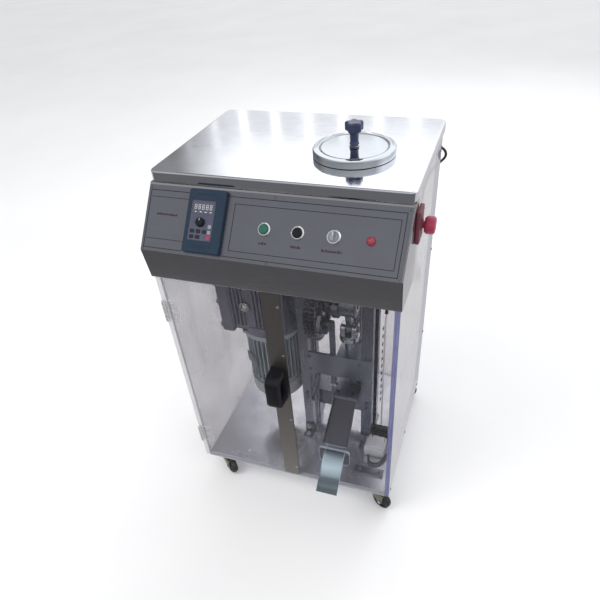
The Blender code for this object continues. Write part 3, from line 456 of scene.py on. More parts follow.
def steel(name, colour, roughness=0.25, grain="X", depth=0.25, smudge_and_reflection=0.5, tint=None, metallic=1.0):
    """Rolled or brushed sheet: fine lines along one axis, cloudy handling marks and a faint wave. Where a
    tint is given the clouds take it, and on the base sheet these bluish clouds are painted reflection
    patches.
    """
    t = Tree(name)
    along = {"X": (0.02, 1, 1), "Y": (1, 0.02, 1), "Z": (1, 1, 0.02), None: (1, 1, 1)}[grain]
    lines = t.noise(1400, 4, along, 0.7)
    wide = t.noise(220, 2, along, 0.6)
    cloud = t.noise(9, 4)
    marks = t.noise(38, 3, (1, 0.7, 1))
    wave = t.noise(5, 1)
    colours = t.mix(t.band(lines, 0.35, 0.65), shade(colour, 0.93), shade(colour, 1.06))
    # Clouds darken the sheet as handling marks; with the base sheet's bluish tint they are painted reflection
    # patches.
    colours = t.mix(t.band(cloud, 0.35, 0.7, 0.0, smudge_and_reflection * 0.5), colours, tint or shade(colour, 0.82))
    rough = t.math("ADD", t.band(lines, 0.3, 0.7, -0.05, 0.06), t.band(cloud, 0.35, 0.7, 0.0, smudge_and_reflection * 0.14))
    rough = t.math("ADD", rough, t.band(marks, 0.5, 0.75, roughness, roughness + smudge_and_reflection * 0.08))
    fine = t.bump(lines, depth * 0.3, 0.0002)
    coarse = t.bump(wide, depth * 0.22, 0.0004, fine)
    normal = t.bump(wave, depth * 0.1, 0.004, coarse)
    return t.done(
        t.principled(
            {
                "Base Color": colours, "Metallic": metallic, "Roughness": rough, "Normal": normal,
                "Specular IOR Level": 0.5,
            }
        )
    )


def machined(name, colour, roughness=0.35, scale=1.0, oil=0.5, rust=0.0):
    """Turned or ground steel with an oily film that darkens it in patches."""
    t = Tree(name)
    cuts = t.noise(700 * scale, 4, (1, 1, 1), 0.7)
    cloud = t.noise(22, 4)
    film = t.noise(55, 2)
    colours = t.mix(t.band(cuts, 0.3, 0.7), shade(colour, 0.88), shade(colour, 1.08))
    colours = t.mix(t.band(cloud, 0.45, 0.75, 0.0, oil), colours, shade(colour, 0.55))
    if rust:
        colours = t.mix(t.band(film, 0.6, 0.8, 0.0, rust), colours, (0.2, 0.12, 0.07))
    rough = t.math(
        "ADD", t.band(cuts, 0.3, 0.7, roughness - 0.05, roughness + 0.08),
        t.band(film, 0.4, 0.7, 0.0, -0.1 * oil),
    )
    normal = t.bump(cuts, 0.12, 0.0003, t.bump(film, 0.06, 0.001))
    return t.done(
        t.principled({"Base Color": colours, "Metallic": 0.95, "Roughness": rough, "Normal": normal})
    )


def paint(name, colour, roughness=0.45, peel=0.25, dust=0.3, chips=0.25):
    """Sprayed paint on a casting: orange peel, dust on the upper faces and small chips."""
    t = Tree(name)
    skin = t.noise(420, 3)
    cast = t.noise(130, 3)
    cloud = t.noise(14, 4)
    spots = t.noise(260, 2)
    up = t.add("SeparateXYZ", {0: t.add("NewGeometry").outputs["Normal"]}).outputs["Z"]
    lying = t.math("MULTIPLY", t.band(up, 0.2, 0.95), t.band(cloud, 0.3, 0.7, 0.25, 1.0))
    colours = t.mix(t.band(cloud, 0.35, 0.7), shade(colour, 0.88), shade(colour, 1.1))
    colours = t.mix(t.math("MULTIPLY", lying, dust), colours, (0.42, 0.42, 0.4))
    worn = t.math("MULTIPLY", t.band(spots, 0.7, 0.76), chips)
    colours = t.mix(worn, colours, (0.34, 0.33, 0.32))
    rough = t.math(
        "ADD", t.band(skin, 0.3, 0.7, roughness - 0.05, roughness + 0.07), t.math("MULTIPLY", lying, 0.2),
    )
    normal = t.bump(skin, peel * 0.3, 0.0004, t.bump(cast, peel * 0.35, 0.001))
    return t.done(
        t.principled(
            {
                "Base Color": colours, "Metallic": 0.0, "Roughness": rough, "Normal": normal,
                "Coat Weight": 0.15, "Coat Roughness": 0.3,
            }
        )
    )


def plastic(name, colour, roughness=0.35, grain=0.2, coat=0.0, wear=0.25, glow=0.0):
    """Moulded plastic: a fine spark-eroded grain, scuffs and a slight unevenness of colour."""
    t = Tree(name)
    pebble = t.noise(1500, 2)
    cloud = t.noise(30, 3)
    scuff = t.noise(160, 4, (1, 0.3, 1))
    colours = t.mix(t.band(cloud, 0.35, 0.7), shade(colour, 0.9), shade(colour, 1.1))
    colours = t.mix(t.band(scuff, 0.62, 0.8, 0.0, wear), colours, shade([c + 0.04 for c in colour], 1.5))
    rough = t.math(
        "ADD", t.band(pebble, 0.3, 0.7, roughness - 0.04, roughness + 0.05),
        t.band(scuff, 0.5, 0.8, 0.0, 0.14),
    )
    inputs = {
        "Base Color": colours, "Roughness": rough, "Normal": t.bump(pebble, grain * 0.35, 0.0002),
        "Coat Weight": coat, "Coat Roughness": 0.12,
    }
    if glow:
        inputs["Emission Color"] = (*colour, 1)
        inputs["Emission Strength"] = glow
    return t.done(t.principled(inputs))


def acrylic(name, face, tint, haze, film, edge=(0.62, 0.61, 0.62), front_edge_light=None):
    """Clear sheet: see-through across face, cloudy with handling, with sawn edges. The haze film's colour is
    set per pane, and a darker film is painted shade.

    A front edge colour, where given, is painted edge light: the lilac-blue glow of a lit polished edge.
    """
    t = Tree(name)
    cloud = t.noise(4.5, 4)
    dust = t.noise(240, 3)
    streak = t.noise(30, 3, (1, 1, 0.08))
    outer = t.math("SUBTRACT", 1.0, t.add("NewGeometry").outputs["Backfacing"])
    fresnel = t.math("MULTIPLY", t.add("Fresnel", {"IOR": 1.49}).outputs[0], outer)
    milky = t.band(cloud, 0.3, 0.75, haze * 0.75, haze * 1.3)
    milky = t.math("ADD", milky, t.band(dust, 0.62, 0.8, 0.0, haze * 0.25))
    milky = t.math("ADD", milky, t.band(streak, 0.55, 0.8, 0.0, haze * 0.35))
    clear = t.add("BsdfTransparent", {"Color": (*tint, 1)}).outputs[0]
    cloudy = t.add("BsdfDiffuse", {"Color": (*film, 1)}).outputs[0]
    shine = t.band(cloud, 0.3, 0.7, 0.02, 0.07)
    gloss = t.add("BsdfGlossy", {"Color": (0.95, 0.95, 0.98, 1), "Roughness": shine}).outputs[0]
    sheet = t.add("MixShader", {0: milky, 1: clear, 2: cloudy}).outputs[0]
    sheet = t.add("MixShader", {0: t.math("MULTIPLY", fresnel, 0.9), 1: sheet, 2: gloss}).outputs[0]
    saw = t.noise(900, 3, (1, 1, 0.03))
    ink = t.mix(t.band(saw, 0.3, 0.7), shade(edge, 0.9), shade(edge, 1.08))
    # A front edge given a colour takes it as painted edge light.
    if front_edge_light:
        ink = t.mix(
            t.band(t.axis("Y"), 0.6, 0.8), ink,
            t.mix(t.band(saw, 0.3, 0.7), shade(front_edge_light, 0.8), shade(front_edge_light, 1.15)),
        )
    rim = t.principled(
        {"Base Color": ink, "Roughness": t.band(saw, 0.3, 0.7, 0.18, 0.38), "Alpha": 0.92 if front_edge_light else 0.75}
    )
    share = t.band(t.axis(face), 0.75, 0.95)
    return t.done(t.add("MixShader", {0: share, 1: rim, 2: sheet}).outputs[0])


def rubber(name, colour, roughness):
    """Matt rubber with fine grain and dust."""
    t = Tree(name)
    grain, dust = t.noise(900, 3), t.noise(60, 4)
    colours = t.mix(t.band(dust, 0.45, 0.75, 0.0, 0.5), colour, (0.1, 0.095, 0.09))
    rough = t.band(grain, 0.3, 0.7, roughness - 0.08, roughness + 0.12)
    return t.done(
        t.principled({"Base Color": colours, "Roughness": rough, "Normal": t.bump(grain, 0.12, 0.0004)})
    )


def zinc(name, colour):
    """Passivated zinc plate: a spangled yellow-grey film with darker wear."""
    t = Tree(name)
    spangle = t.add("TexVoronoi", {"Vector": t.place, "Scale": 260.0}).outputs["Distance"]
    cloud, fine = t.noise(45, 4), t.noise(700, 3)
    colours = t.mix(t.band(cloud, 0.35, 0.7), shade(colour, 0.75), shade(colour, 1.25))
    colours = t.mix(t.band(spangle, 0.1, 0.7, 0.0, 0.35), colours, (0.3, 0.27, 0.16))
    rough = t.math("ADD", t.band(fine, 0.3, 0.7, 0.28, 0.42), t.band(spangle, 0.0, 0.8, -0.04, 0.08))
    return t.done(
        t.principled(
            {"Base Color": colours, "Metallic": 0.9, "Roughness": rough, "Normal": t.bump(fine, 0.08, 0.0003)}
        )
    )


def keypad_film(name):
    """The inverter's printed film: pale blue-grey with a slight gradient down its height."""
    t = Tree(name)
    fade = t.band(t.height("Z"), Box("inverter_housing").low.z, Box("inverter_housing").high.z)
    colours = t.mix(fade, (0.08, 0.086, 0.13), (0.052, 0.056, 0.09))
    grain = t.noise(1200, 2)
    return t.done(
        t.principled(
            {
                "Base Color": colours, "Roughness": t.band(grain, 0.3, 0.7, 0.28, 0.4),
                "Normal": t.bump(grain, 0.05, 0.0002),
            }
        )
    )


def display(name):
    """A dark display window with faint lighter bands across it."""
    t = Tree(name)
    rows = t.add(
        "TexWave", {"Vector": t.place, "Scale": 240.0, "Distortion": 0.0}, bands_direction="X",
    ).outputs["Fac"]
    colours = t.mix(t.band(rows, 0.4, 0.6, 0.0, 0.25), (0.07, 0.07, 0.1), (0.1, 0.1, 0.14))
    return t.done(
        t.principled({"Base Color": colours, "Roughness": 0.12, "Coat Weight": 0.6, "Coat Roughness": 0.05})
    )


MIRROR = steel("mirror_sheet", (0.8, 0.81, 0.84), 0.07, "X", 0.12, 0.5)
LID = steel("lid_steel", (0.56, 0.59, 0.62), 0.05, None, 0.1, 0.4)
CONSOLE = steel("console_sheet", (0.49, 0.48, 0.49), 0.16, "X", 0.5, 0.6)
PANEL = steel("panel_sheet", (0.25, 0.256, 0.292), 0.36, "X", 0.4, 0.5, tint=(0.262, 0.25, 0.244))
# The base sheet's bluish tinted clouds are painted reflection patches on a near-white steel.
PLATE = steel("base_sheet_painted_reflection", (0.97, 0.98, 1.0), 0.05, "X", 0.2, 1.4, tint=(0.46, 0.48, 0.6), metallic=0.86)
BRUSHED = steel("frame_sheet", (0.27, 0.275, 0.32), 0.24, "Z", 0.5, 0.6)
APRON = steel("guide_sheet", (0.36, 0.385, 0.44), 0.28, "Z", 0.4, 0.5)
STILE = steel("stile_sheet", (0.34, 0.315, 0.29), 0.32, "Z", 0.6, 0.6)
# The tongue's bright bluish colour is painted sky reflection on plain steel.
CHUTE_PAINTED_REFLECTION = steel("chute_sheet_painted_reflection", (0.68, 0.82, 0.9), 0.2, "Y", 0.3, 0.7)
# The tray's near-black colour is painted shade: the tongue's steel, darkened where it lies under the console.
TRAY_PAINTED_SHADE = steel("tray_sheet_painted_shade", (0.105, 0.105, 0.125), 0.3, "Y", 0.4, 0.6)
HOPPER = steel("hopper_sheet", (0.62, 0.63, 0.66), 0.16, "Z", 0.3, 0.6)
GROUND = machined("ground_steel", (0.24, 0.255, 0.29), 0.28, 0.8, 0.4)
BRIGHT = machined("bright_steel", (0.62, 0.63, 0.66), 0.16, 1.2, 0.25)
TOOTHED = machined("cut_steel", (0.2, 0.205, 0.235), 0.28, 1.0, 0.6, rust=0.12)
CHROME = machined("chrome_trim", (0.85, 0.85, 0.87), 0.06, 1.5, 0.0)
BLACKENED = machined("blackened_screws", (0.06, 0.06, 0.07), 0.35, 1.0, 0.2)
GEARBOX_PAINT = paint("gearbox_enamel", (0.105, 0.105, 0.135), 0.4, dust=0.12)
MOTOR_PAINT = paint("motor_enamel", (0.24, 0.27, 0.285), 0.4, dust=0.15)
COWL_PAINT = paint("cowl_enamel", (0.31, 0.33, 0.335), 0.38, dust=0.15)
# The bearing housing's dark blue paint is darkened further as painted shade.
BEARING_PAINT_AND_SHADE = paint("bearing_enamel_and_shade", (0.045, 0.05, 0.1), 0.38)
BLACK = plastic("black_moulding", (0.0025, 0.0025, 0.006), 0.44, 0.3, 0.05, wear=0.06)
GREY = plastic("grey_moulding", (0.24, 0.25, 0.28), 0.32)
BLUE = plastic("blue_moulding", (0.008, 0.026, 0.054), 0.46, 0.3)
NAVY = plastic("navy_moulding", (0.03, 0.038, 0.095), 0.32, 0.2, 0.2)
GREEN = plastic("green_cap", (0.008, 0.105, 0.072), 0.25, 0.1, 0.4)
RED = plastic("red_cap", (0.34, 0.03, 0.07), 0.34, 0.1, 0.2)
# The e-stop plate's red is the cap's red darkened: painted shade.
RED_PAINTED_SHADE = plastic("red_base_painted_shade", (0.165, 0.04, 0.06), 0.45, 0.3)
INK = plastic("panel_ink", (0.018, 0.018, 0.024), 0.55, 0.1)
RED_INK = plastic("panel_red_ink", (0.06, 0.022, 0.026), 0.55, 0.1)
CREAM = plastic("cream_label", (0.52, 0.5, 0.42), 0.5, 0.2)
WHITE = plastic("white_block", (0.62, 0.63, 0.66), 0.4, 0.2)
LAMP = plastic("lamp_lens", (0.28, 0.042, 0.062), 0.22, 0.05, 0.4, 0.0, 0.03)
CORD = rubber("cord_sheath", (0.018, 0.018, 0.02), 0.45)
TYRE = rubber("wheel_tyre", (0.014, 0.014, 0.014), 0.55)
ZINC = zinc("zinc_plate", (0.22, 0.215, 0.165))
FILM = keypad_film("keypad_film")
DISPLAY = display("display_window")
TINT = (0.965, 0.96, 0.968)
# The left pane's haze film is darker than the right and rear panes': painted shade on that side.
PANE_LEFT_SHADED = acrylic("left_acrylic_shaded", "X", TINT, 0.34, (0.4, 0.385, 0.37))
# The right pane's lilac-blue front edge is painted edge light.
PANE_RIGHT = acrylic("right_acrylic", "X", TINT, 0.34, (0.74, 0.72, 0.7), front_edge_light=(0.13, 0.138, 0.285))
PANE_REAR = acrylic("rear_acrylic", "Y", TINT, 0.26, (0.7, 0.67, 0.65))
PANE_FRONT = acrylic("front_acrylic", "Y", TINT, 0.012, (0.7, 0.7, 0.72), edge=(0.45, 0.46, 0.52))
CLEAR = acrylic("clear_moulding", "Y", TINT, 0.06, (0.7, 0.7, 0.7))


# ---------------------------------------------------------------- cabinet

def loop_edges(bm, row):
    """The edges of a closed row of vertices."""
    return [bm.edges.get((row[step - 1], row[step])) for step in range(len(row))]


def build_cover():
    """The folded top: a lip, a rolled edge and a flat top with the hopper's hole and its collar."""
    box, lid = Box("top_cover"), Box("hopper_lid")
    collar_height = 0.008
    top = box.high.z - collar_height
    roll, radius = 0.0035, 0.014
    shape = Shape()
    rows = []
    stations = [(0.0, box.low.z), (0.0, box.low.z + 0.0005)]
    for step in range(7):
        angle = math.pi / 2 * step / 6
        stations.append((roll - roll * math.cos(angle), top - roll + roll * math.sin(angle)))
    stations.append((roll + 0.0012, top))
    for inset, z in stations:
        outline = rect(
            box.low.x + inset, box.low.y + inset, box.high.x - inset, box.high.y - inset, radius - inset, 8,
        )
        rows.append([(x, y, z) for x, y in outline])
    rim = shape.loft(rows)[-1]
    hole = lid.size.x / 2 - 0.011
    circles = []
    for reach in (hole, hole + 0.0015):
        circles.append([(x, y, top) for x, y in ring_points(lid.mid.x, lid.mid.y, reach, 96)])
    ring = shape.loft(circles)[-1]
    edges = loop_edges(shape.bm, ring) + loop_edges(shape.bm, rim)
    bmesh.ops.triangle_fill(shape.bm, use_beauty=True, edges=edges)
    piece("cover_sheet", shape, MIRROR, replaces="top_cover", solid=0.002, smooth=50)
    collar = Shape()
    low, high = (lid.mid.x, lid.mid.y, top - 0.012), (lid.mid.x, lid.mid.y, box.high.z)
    collar.pipe(low, high, hole + 0.0045, hole - 0.0005, 0.0008, 96)
    piece("hopper_collar", collar, MIRROR)


def console_profile():
    """Side view of the folded console, as (Y, Z) points from the back of its floor to its crest."""
    box, panel = Box("console_shell"), Box("control_panel")
    out = Vector(JOINTS["speed_turn"]["axis"])
    up = out.cross(X)
    face = panel.mid - out * 0.0011
    crest = face + up * ((box.high.z - face.z) / up.z)
    nose = face + up * ((box.low.y - face.y) / up.y)
    chin = (box.low.y + 0.0092, box.low.z)
    return [(box.high.y, box.low.z), chin, (nose.y, nose.z), (crest.y, box.high.z), (box.high.y, box.high.z)]


def build_console():
    """The sheet folded round the console, and the two cheeks that close its ends."""
    box = Box("console_shell")
    profile = fillet(console_profile(), CONSOLE_FOLD, 6, closed=False)
    shape = Shape()
    left, right = box.low.x + 0.0002, box.high.x - 0.0002
    xs = [left, left + 0.0006, right - 0.0006, right]
    shape.loft([[(x, y, z) for y, z in profile] for x in xs], closed=False)
    piece(
        "console_wrap", shape, CONSOLE, replaces="console_shell", solid=0.002, smooth=50,
    )
    sides = Shape()
    inner = fillet(console_profile(), [0.001, CONSOLE_FOLD, CONSOLE_FOLD, CONSOLE_FOLD, 0.001], 5)
    for x in (box.low.x, box.high.x - CONSOLE_SHEET):
        sides.flat([inner], 0, CONSOLE_SHEET, frame_at((x, 0, 0), Y, Z), 0.0004)
    piece("console_cheeks", sides, CONSOLE)


def panel_frame():
    """X along the control panel, Y up its slope, Z out of its face, with its origin mid-face."""
    panel = Box("control_panel")
    out = Vector(JOINTS["speed_turn"]["axis"]).normalized()
    return frame_at(panel.mid + out * 0.00075, X, out.cross(X))


FACE = panel_frame()
FACE_INVERSE = FACE.inverted()


def on_face(node):
    """The middle of a control, in the panel's frame."""
    return FACE_INVERSE @ Box(node).mid


def build_panel():
    """The printed panel: ruled lines, small marks under the controls and countersunk screws."""
    dress("control_panel", PANEL, 0.0004)
    lines = Shape()

    def rule(x0, y0, x1, y1, width=0.0013):
        low = (min(x0, x1) - width / 2, min(y0, y1) - width / 2, 0)
        high = (max(x0, x1) + width / 2, max(y0, y1) + width / 2, SIGN_THICK)
        lines.box(low, high, at=FACE)

    inverter = on_face("inverter_housing")
    left, right = -0.2365, 0.2325
    gap_low, gap_high = inverter.x - 0.0405, inverter.x + 0.0405
    for y in (0.0505, -0.0545):
        rule(left, y, gap_low, y)
        rule(gap_high, y, right, y)
    rule(left, -0.0545, left, 0.0505)
    rule(right, -0.0545, right, 0.0505)
    for y in (0.0385, -0.0375):
        rule(left + 0.003, y, gap_low, y, 0.001)
    x0, x1, y0, y1 = -0.067, 0.225, -0.0435, 0.0385
    for a, b in (((x0, y0), (x1, y0)), ((x1, y0), (x1, y1)), ((x1, y1), (x0, y1)), ((x0, y1), (x0, y0))):
        rule(*a, *b, 0.0011)
    piece("panel_rules", lines, INK)
    marks = Shape()

    def ticks(x, y, width, size, seed):
        """A short row of uneven strokes, the size of small print."""
        rng = random.Random(seed)
        place = x - width / 2
        while place < x + width / 2 - size * 0.3:
            stroke = size * rng.uniform(0.35, 0.8)
            tall = size * rng.uniform(0.55, 1.0)
            low = (place, y - size * 0.5, 0)
            high = (min(place + stroke, x + width / 2), y - size * 0.5 + tall, SIGN_THICK)
            marks.box(low, high, at=FACE)
            place += stroke + size * rng.uniform(0.12, 0.22)

    ticks(-0.197, 0.008, 0.043, 0.0042, 3)
    labels = (("start_bezel", 0.015, 4), ("stop_bezel", 0.019, 5), ("speed_bezel", 0.036, 6))
    for node, width, seed in labels:
        spot = on_face(node)
        ticks(spot.x, spot.y - 0.0235, width, 0.0048, seed)
    piece("panel_marks", marks, RED_INK)
    screws = Shape()
    spots = (
        (0.005, 0.0555), (0.007, -0.0575), (0.2375, -0.0575), (-0.2375, -0.0575), (-0.2375, 0.0555),
        (0.2375, 0.0555),
    )
    head = [
        (0, 0.0009), (0.0009, 0.0009), (0.0009, 0.0004), (0.0012, 0.0004), (0.0012, 0.001),
        (0.0022, 0.0007), (0.0026, 0.0),
    ]
    for x, y in spots:
        screws.lathe(head, FACE @ move(x, y), 20)
    piece("panel_screws", screws, GROUND)


def build_panes():
    """The clear sheets, and the screws along their lower and rear edges."""
    dress("left_side_panel", PANE_LEFT_SHADED, 0.0006)
    dress("right_side_panel", PANE_RIGHT, 0.0006)
    dress("rear_panel", PANE_REAR, 0.0005)
    for node in ("front_window_panel", "door_panel"):
        dress(node, PANE_FRONT, 0.0005)
    left, right, rear = Box("left_side_panel"), Box("right_side_panel"), Box("rear_panel")
    bolts = Shape()
    for box, out in ((left, -X), (right, X)):
        face = box.low.x if out.x < 0 else box.high.x
        for y in (box.low.y + 0.02, box.mid.y, box.high.y - 0.02):
            bolts.socket((face, y, BASE.mid.z), out, 0.003, 0.0014)
        for z in (0.25, 0.5, 0.74):
            bolts.socket((face, rear.mid.y, z), out, 0.003, 0.0014)
    piece("pane_screws", bolts, GROUND)


def build_base():
    """The base plate with its ground front edge and screws."""
    dress("base_plate", PLATE, 0.0006)
    piece(
        "base_front_edge",
        Shape().box(
            (BASE.low.x, BASE.low.y - 0.0008, BASE.low.z + 0.0003),
            (BASE.high.x, BASE.low.y + 0.0004, BASE.high.z - 0.0003), 0.0003,
        ),
        BRIGHT,
    )
    screws = Shape()
    for x, y in ((0.134, -0.169), (-0.19, -0.19), (0.19, -0.19), (-0.06, -0.185), (0.06, -0.185)):
        screws.socket(m(x, y, BASE.high.z), Z, 0.0034, 0.002)
    piece("base_screws", screws, BRIGHT)


# ---------------------------------------------------------------- door

def build_door():
    """The stile's rivets, the handle and the two hinges."""
    dress("door_stile", STILE, 0.0006)
    stile = Box("door_stile")
    rivets = Shape()
    for z in (stile.low.z + 0.03, stile.low.z + 0.2, stile.mid.z + 0.12, stile.high.z - 0.03):
        rivets.lathe(
            [(0, 0.0011), (0.0012, 0.001), (0.0022, 0.0006), (0.0026, 0.0), (0, 0)],
            facing((stile.mid.x + 0.013, stile.low.y, z), -Y), 20,
        )
    piece("stile_rivets", rivets, BRIGHT, "door")
    build_handle()
    for node in ("door_hinge_upper", "door_hinge_lower"):
        build_hinge(node)


def build_handle():
    """A bridge pull with a thick rounded bow, a finger slot and two feet."""
    box = Box("door_handle")
    y0, y1 = box.low.y, box.high.y
    z0, z1 = box.low.z, box.high.z
    outer = fillet(
        [(y0, z0 + 0.006), (y0, z1 - 0.006), (y0 + 0.016, z1), (y1, z1), (y1, z0), (y0 + 0.016, z0)],
        [0.02, 0.02, 0.012, 0.002, 0.002, 0.012], 8,
    )
    inner = fillet(
        [
            (y0 + 0.0165, z0 + 0.021), (y0 + 0.0165, z1 - 0.021), (y0 + 0.022, z1 - 0.0175),
            (y1 - 0.004, z1 - 0.0175), (y1 - 0.004, z0 + 0.0175), (y0 + 0.022, z0 + 0.0175),
        ],
        [0.008, 0.008, 0.004, 0.003, 0.003, 0.004], 6,
    )
    piece(
        "handle_bow",
        Shape().flat(
            [outer, inner], box.low.x + 0.0005, box.high.x - 0.0005, frame_at((0, 0, 0), Y, Z), 0.0045,
        ),
        BLACK, "door", "door_handle", smooth=60,
    )
    feet = Shape()
    for z in (z0 + 0.01, z1 - 0.01):
        feet.box(
            (box.low.x + 0.001, y1 - 0.005, z - 0.011), (box.high.x - 0.001, y1 - 0.0001, z + 0.011),
            0.0012,
        )
        feet.socket((box.mid.x, y1 - 0.0045, z), -Y, 0.0026, 0.0012)
    piece("handle_feet", feet, BLACK, "door")


def build_hinge(node):
    """A clear moulded hinge: five knuckles on a pin and a screwed leaf."""
    box = Box(node)
    axis_x, axis_y, _ = JOINTS["door_swing"]["pos_m"]
    shape = Shape()
    parts = 5
    for number in range(parts):
        low = box.low.z + box.size.z * number / parts + 0.0003
        high = box.low.z + box.size.z * (number + 1) / parts - 0.0003
        shape.rod((axis_x, axis_y, low), (axis_x, axis_y, high), 0.004, edge=0.0005, count=28)
    shape.rod(
        (axis_x, axis_y, box.low.z - 0.0015), (axis_x, axis_y, box.high.z + 0.0015), 0.0022, edge=0.0005,
        count=20,
    )
    leaf = rect(axis_x + 0.003, box.low.z, box.high.x, box.high.z, 0.003, 4)
    y_back = Box("door_panel").low.y - 0.0005
    shape.flat(
        [leaf], -0.002, 0.0,
        frame_at((0, y_back, 0), X, Z) @ Matrix.Rotation(math.pi, 4, "X") @ Matrix.Scale(-1, 4, (0, 1, 0)),
        0.0004,
    )
    piece(node + "_leaf", shape, CLEAR, "door", node)
    screws = Shape()
    for z in (box.low.z + 0.008, box.mid.z, box.high.z - 0.008):
        screws.lathe(
            [(0, 0.0006), (0.001, 0.0006), (0.0013, 0.001), (0.0024, 0.0008), (0.003, 0.0), (0, 0)],
            facing((box.high.x - 0.01, y_back - 0.002, z), -Y), 20,
        )
    piece(node + "_screws", screws, CLEAR, "door")


# ---------------------------------------------------------------- controls

def on_panel(node, rise=0.0):
    """A control's place on the panel, rise above its face, with Z out of it."""
    spot = on_face(node)
    return FACE @ move(spot.x, spot.y, rise)


def build_controls():
    """Bezels with two caps and a selector, and a lamp lens on its seat."""
    narrow = [
        (0.0084, 0.0002), (0.0084, 0.0034), (0.0092, 0.0042), (0.0104, 0.0042), (0.0118, 0.0032),
        (0.0122, 0.0016), (0.0122, 0.0002), (0.0084, 0.0002),
    ]
    wide = [
        (0.0084, 0.0002), (0.0084, 0.0036), (0.0094, 0.0043), (0.011, 0.0043), (0.0126, 0.0028),
        (0.013, 0.0012), (0.013, 0.0002), (0.0084, 0.0002),
    ]
    for name, rim in (("start", narrow), ("stop", narrow), ("speed", wide)):
        node = f"{name}_bezel"
        piece(f"{name}_ring", Shape().lathe(rim, on_panel(node), 64), CHROME, replaces=node)
    crown = [
        (0, 0.0058), (0.004, 0.006), (0.0064, 0.0064), (0.0074, 0.0062), (0.0081, 0.0054), (0.0082, 0.004),
        (0.0082, -0.0078), (0, -0.0078),
    ]
    for name, colour in (("start", GREEN), ("stop", BLACK)):
        cap = Shape().lathe(crown, on_panel(f"{name}_bezel", SEAT), 56)
        piece(f"{name}_cap", cap, colour, f"{name}_control", f"{name}_button")
    dome = [(0, 0.0058), (0.006, 0.0062), (0.0076, 0.0056), (0.0082, 0.0044), (0.0082, -0.0078), (0, -0.0078)]
    here = on_panel("speed_bezel")
    knob = Shape().lathe(dome, on_panel("speed_bezel", SEAT), 56)
    knob.box((-0.0025, -0.0076, 0.005), (0.0025, 0.0076, 0.0124), 0.001, here, 3)
    piece("speed_selector", knob, GREY, "speed_control", "speed_knob")
    mark = Shape().box((-0.0004, 0.0008, 0.01235), (0.0004, 0.007, 0.01262), at=here)
    piece("speed_pointer", mark, WHITE, "speed_control")
    here = on_panel("power_lamp", SEAT)
    lens = [
        (0, 0.007), (0.0022, 0.0068), (0.0042, 0.006), (0.0058, 0.0046), (0.0068, 0.0026), (0.007, 0.001),
        (0.007, 0),
    ]
    piece("lamp_lens", Shape().lathe(lens, here, 48), LAMP, replaces="power_lamp")
    seat = [(0.0069, 0.0), (0.0069, 0.0014), (0.0074, 0.0018), (0.0079, 0.0012), (0.0079, 0.0), (0.0069, 0.0)]
    piece("lamp_seat", Shape().lathe(seat, here, 48), RED)


def build_inverter():
    """The inverter's front: a blue moulding, a printed film, a display, membrane keys and a dial."""
    box, spot = Box("inverter_housing"), on_face("inverter_housing")
    half_x, half_y, height = box.size.x / 2, 0.0565, 0.008
    place = FACE @ move(spot.x, spot.y, 0.0003)
    body = Shape()
    outer = rect(-half_x, -half_y, half_x, half_y, 0.0035, 5)
    film = rect(-0.028, -0.0345, 0.018, 0.0365, 0.002, 4)
    dial = on_face("inverter_dial") - spot
    body.flat([outer], 0, height - 0.0012, place, 0.001)
    body.flat([inset_outline(outer, 0.001), film], height - 0.0016, height, place, 0.0005)
    for y in (-0.045, 0.047):
        body.box((-0.02, y - 0.0012, height - 0.0002), (0.02, y + 0.0012, height + 0.0004), 0.0004, place)
    piece("inverter_case", body, BLUE, replaces="inverter_housing")
    piece("keypad_sheet", Shape().prism(film, height - 0.0014, height - 0.0007, place), FILM)
    piece(
        "display_glass",
        Shape().prism(
            rect(-0.0255, 0.0125, 0.0155, 0.0335, 0.0012, 3), height - 0.0008, height - 0.0002, place,
            0.0002,
        ),
        DISPLAY,
    )
    digits = Shape()
    for number in range(5):
        x = -0.0215 + number * 0.0074
        seven_segments(digits, place, x, 0.0245, 0.0042, 0.0078, height - 0.0002)
    for number in range(4):
        digits.box(
            (-0.0205 + number * 0.0098, 0.0152, height - 0.0002),
            (-0.0165 + number * 0.0098, 0.0164, height), at=place,
        )
    piece("display_segments", digits, WHITE)
    membrane = (
        ("keypad_keys", INK, 0.0042, 0.0034, 0.0016, 0.0001, INK_KEYS),
        ("keypad_grey_keys", GREY, 0.0032, 0.0034, 0.0014, 0.0001, GREY_KEYS),
        ("keypad_stop_key", RED, 0.0035, 0.0035, 0.0016, 0.0002, STOP_KEY),
    )
    for name, colour, half_x, half_y, corner, rise, spots in membrane:
        keys = Shape()
        for x, y in spots:
            outline = rect(x - half_x, y - half_y, x + half_x, y + half_y, corner, 4)
            keys.prism(outline, height - 0.0008, height + rise, place, 0.0003)
        piece(name, keys, colour)
    knob = Shape()
    here = place @ move(dial.x, dial.y)
    knob.lathe(
        [
            (0, 0.0132), (0.0058, 0.0134), (0.007, 0.0128), (0.0074, 0.0118), (0.0078, 0.0075),
            (0.0085, 0.0068), (0, 0.0068),
        ],
        here, 40,
    )
    for number in range(18):
        turn = here @ spin(number / 18)
        knob.box((0.007, -0.0004, 0.0078), (0.0082, 0.0004, 0.0124), 0.0002, turn)
    piece("dial_knob", knob, BLACK, "inverter_control", "inverter_dial")
    piece(
        "dial_pointer", Shape().box((-0.0004, 0.002, 0.013), (0.0004, 0.0066, 0.01352), at=here), WHITE,
        "inverter_control",
    )


def seven_segments(shape, place, x, y, width, tall, top):
    """One figure of a display, with all its segments."""
    thin = width * 0.16
    half = tall / 2
    for dy in (-half, 0.0, half):
        shape.box((x, y + dy - thin / 2, top), (x + width, y + dy + thin / 2, top + 0.0002), at=place)
    for dx in (0.0, width - thin):
        for low in (-half, 0.0):
            shape.box(
                (x + dx, y + low + thin * 0.7, top),
                (x + dx + thin, y + low + half - thin * 0.7, top + 0.0002), at=place,
            )


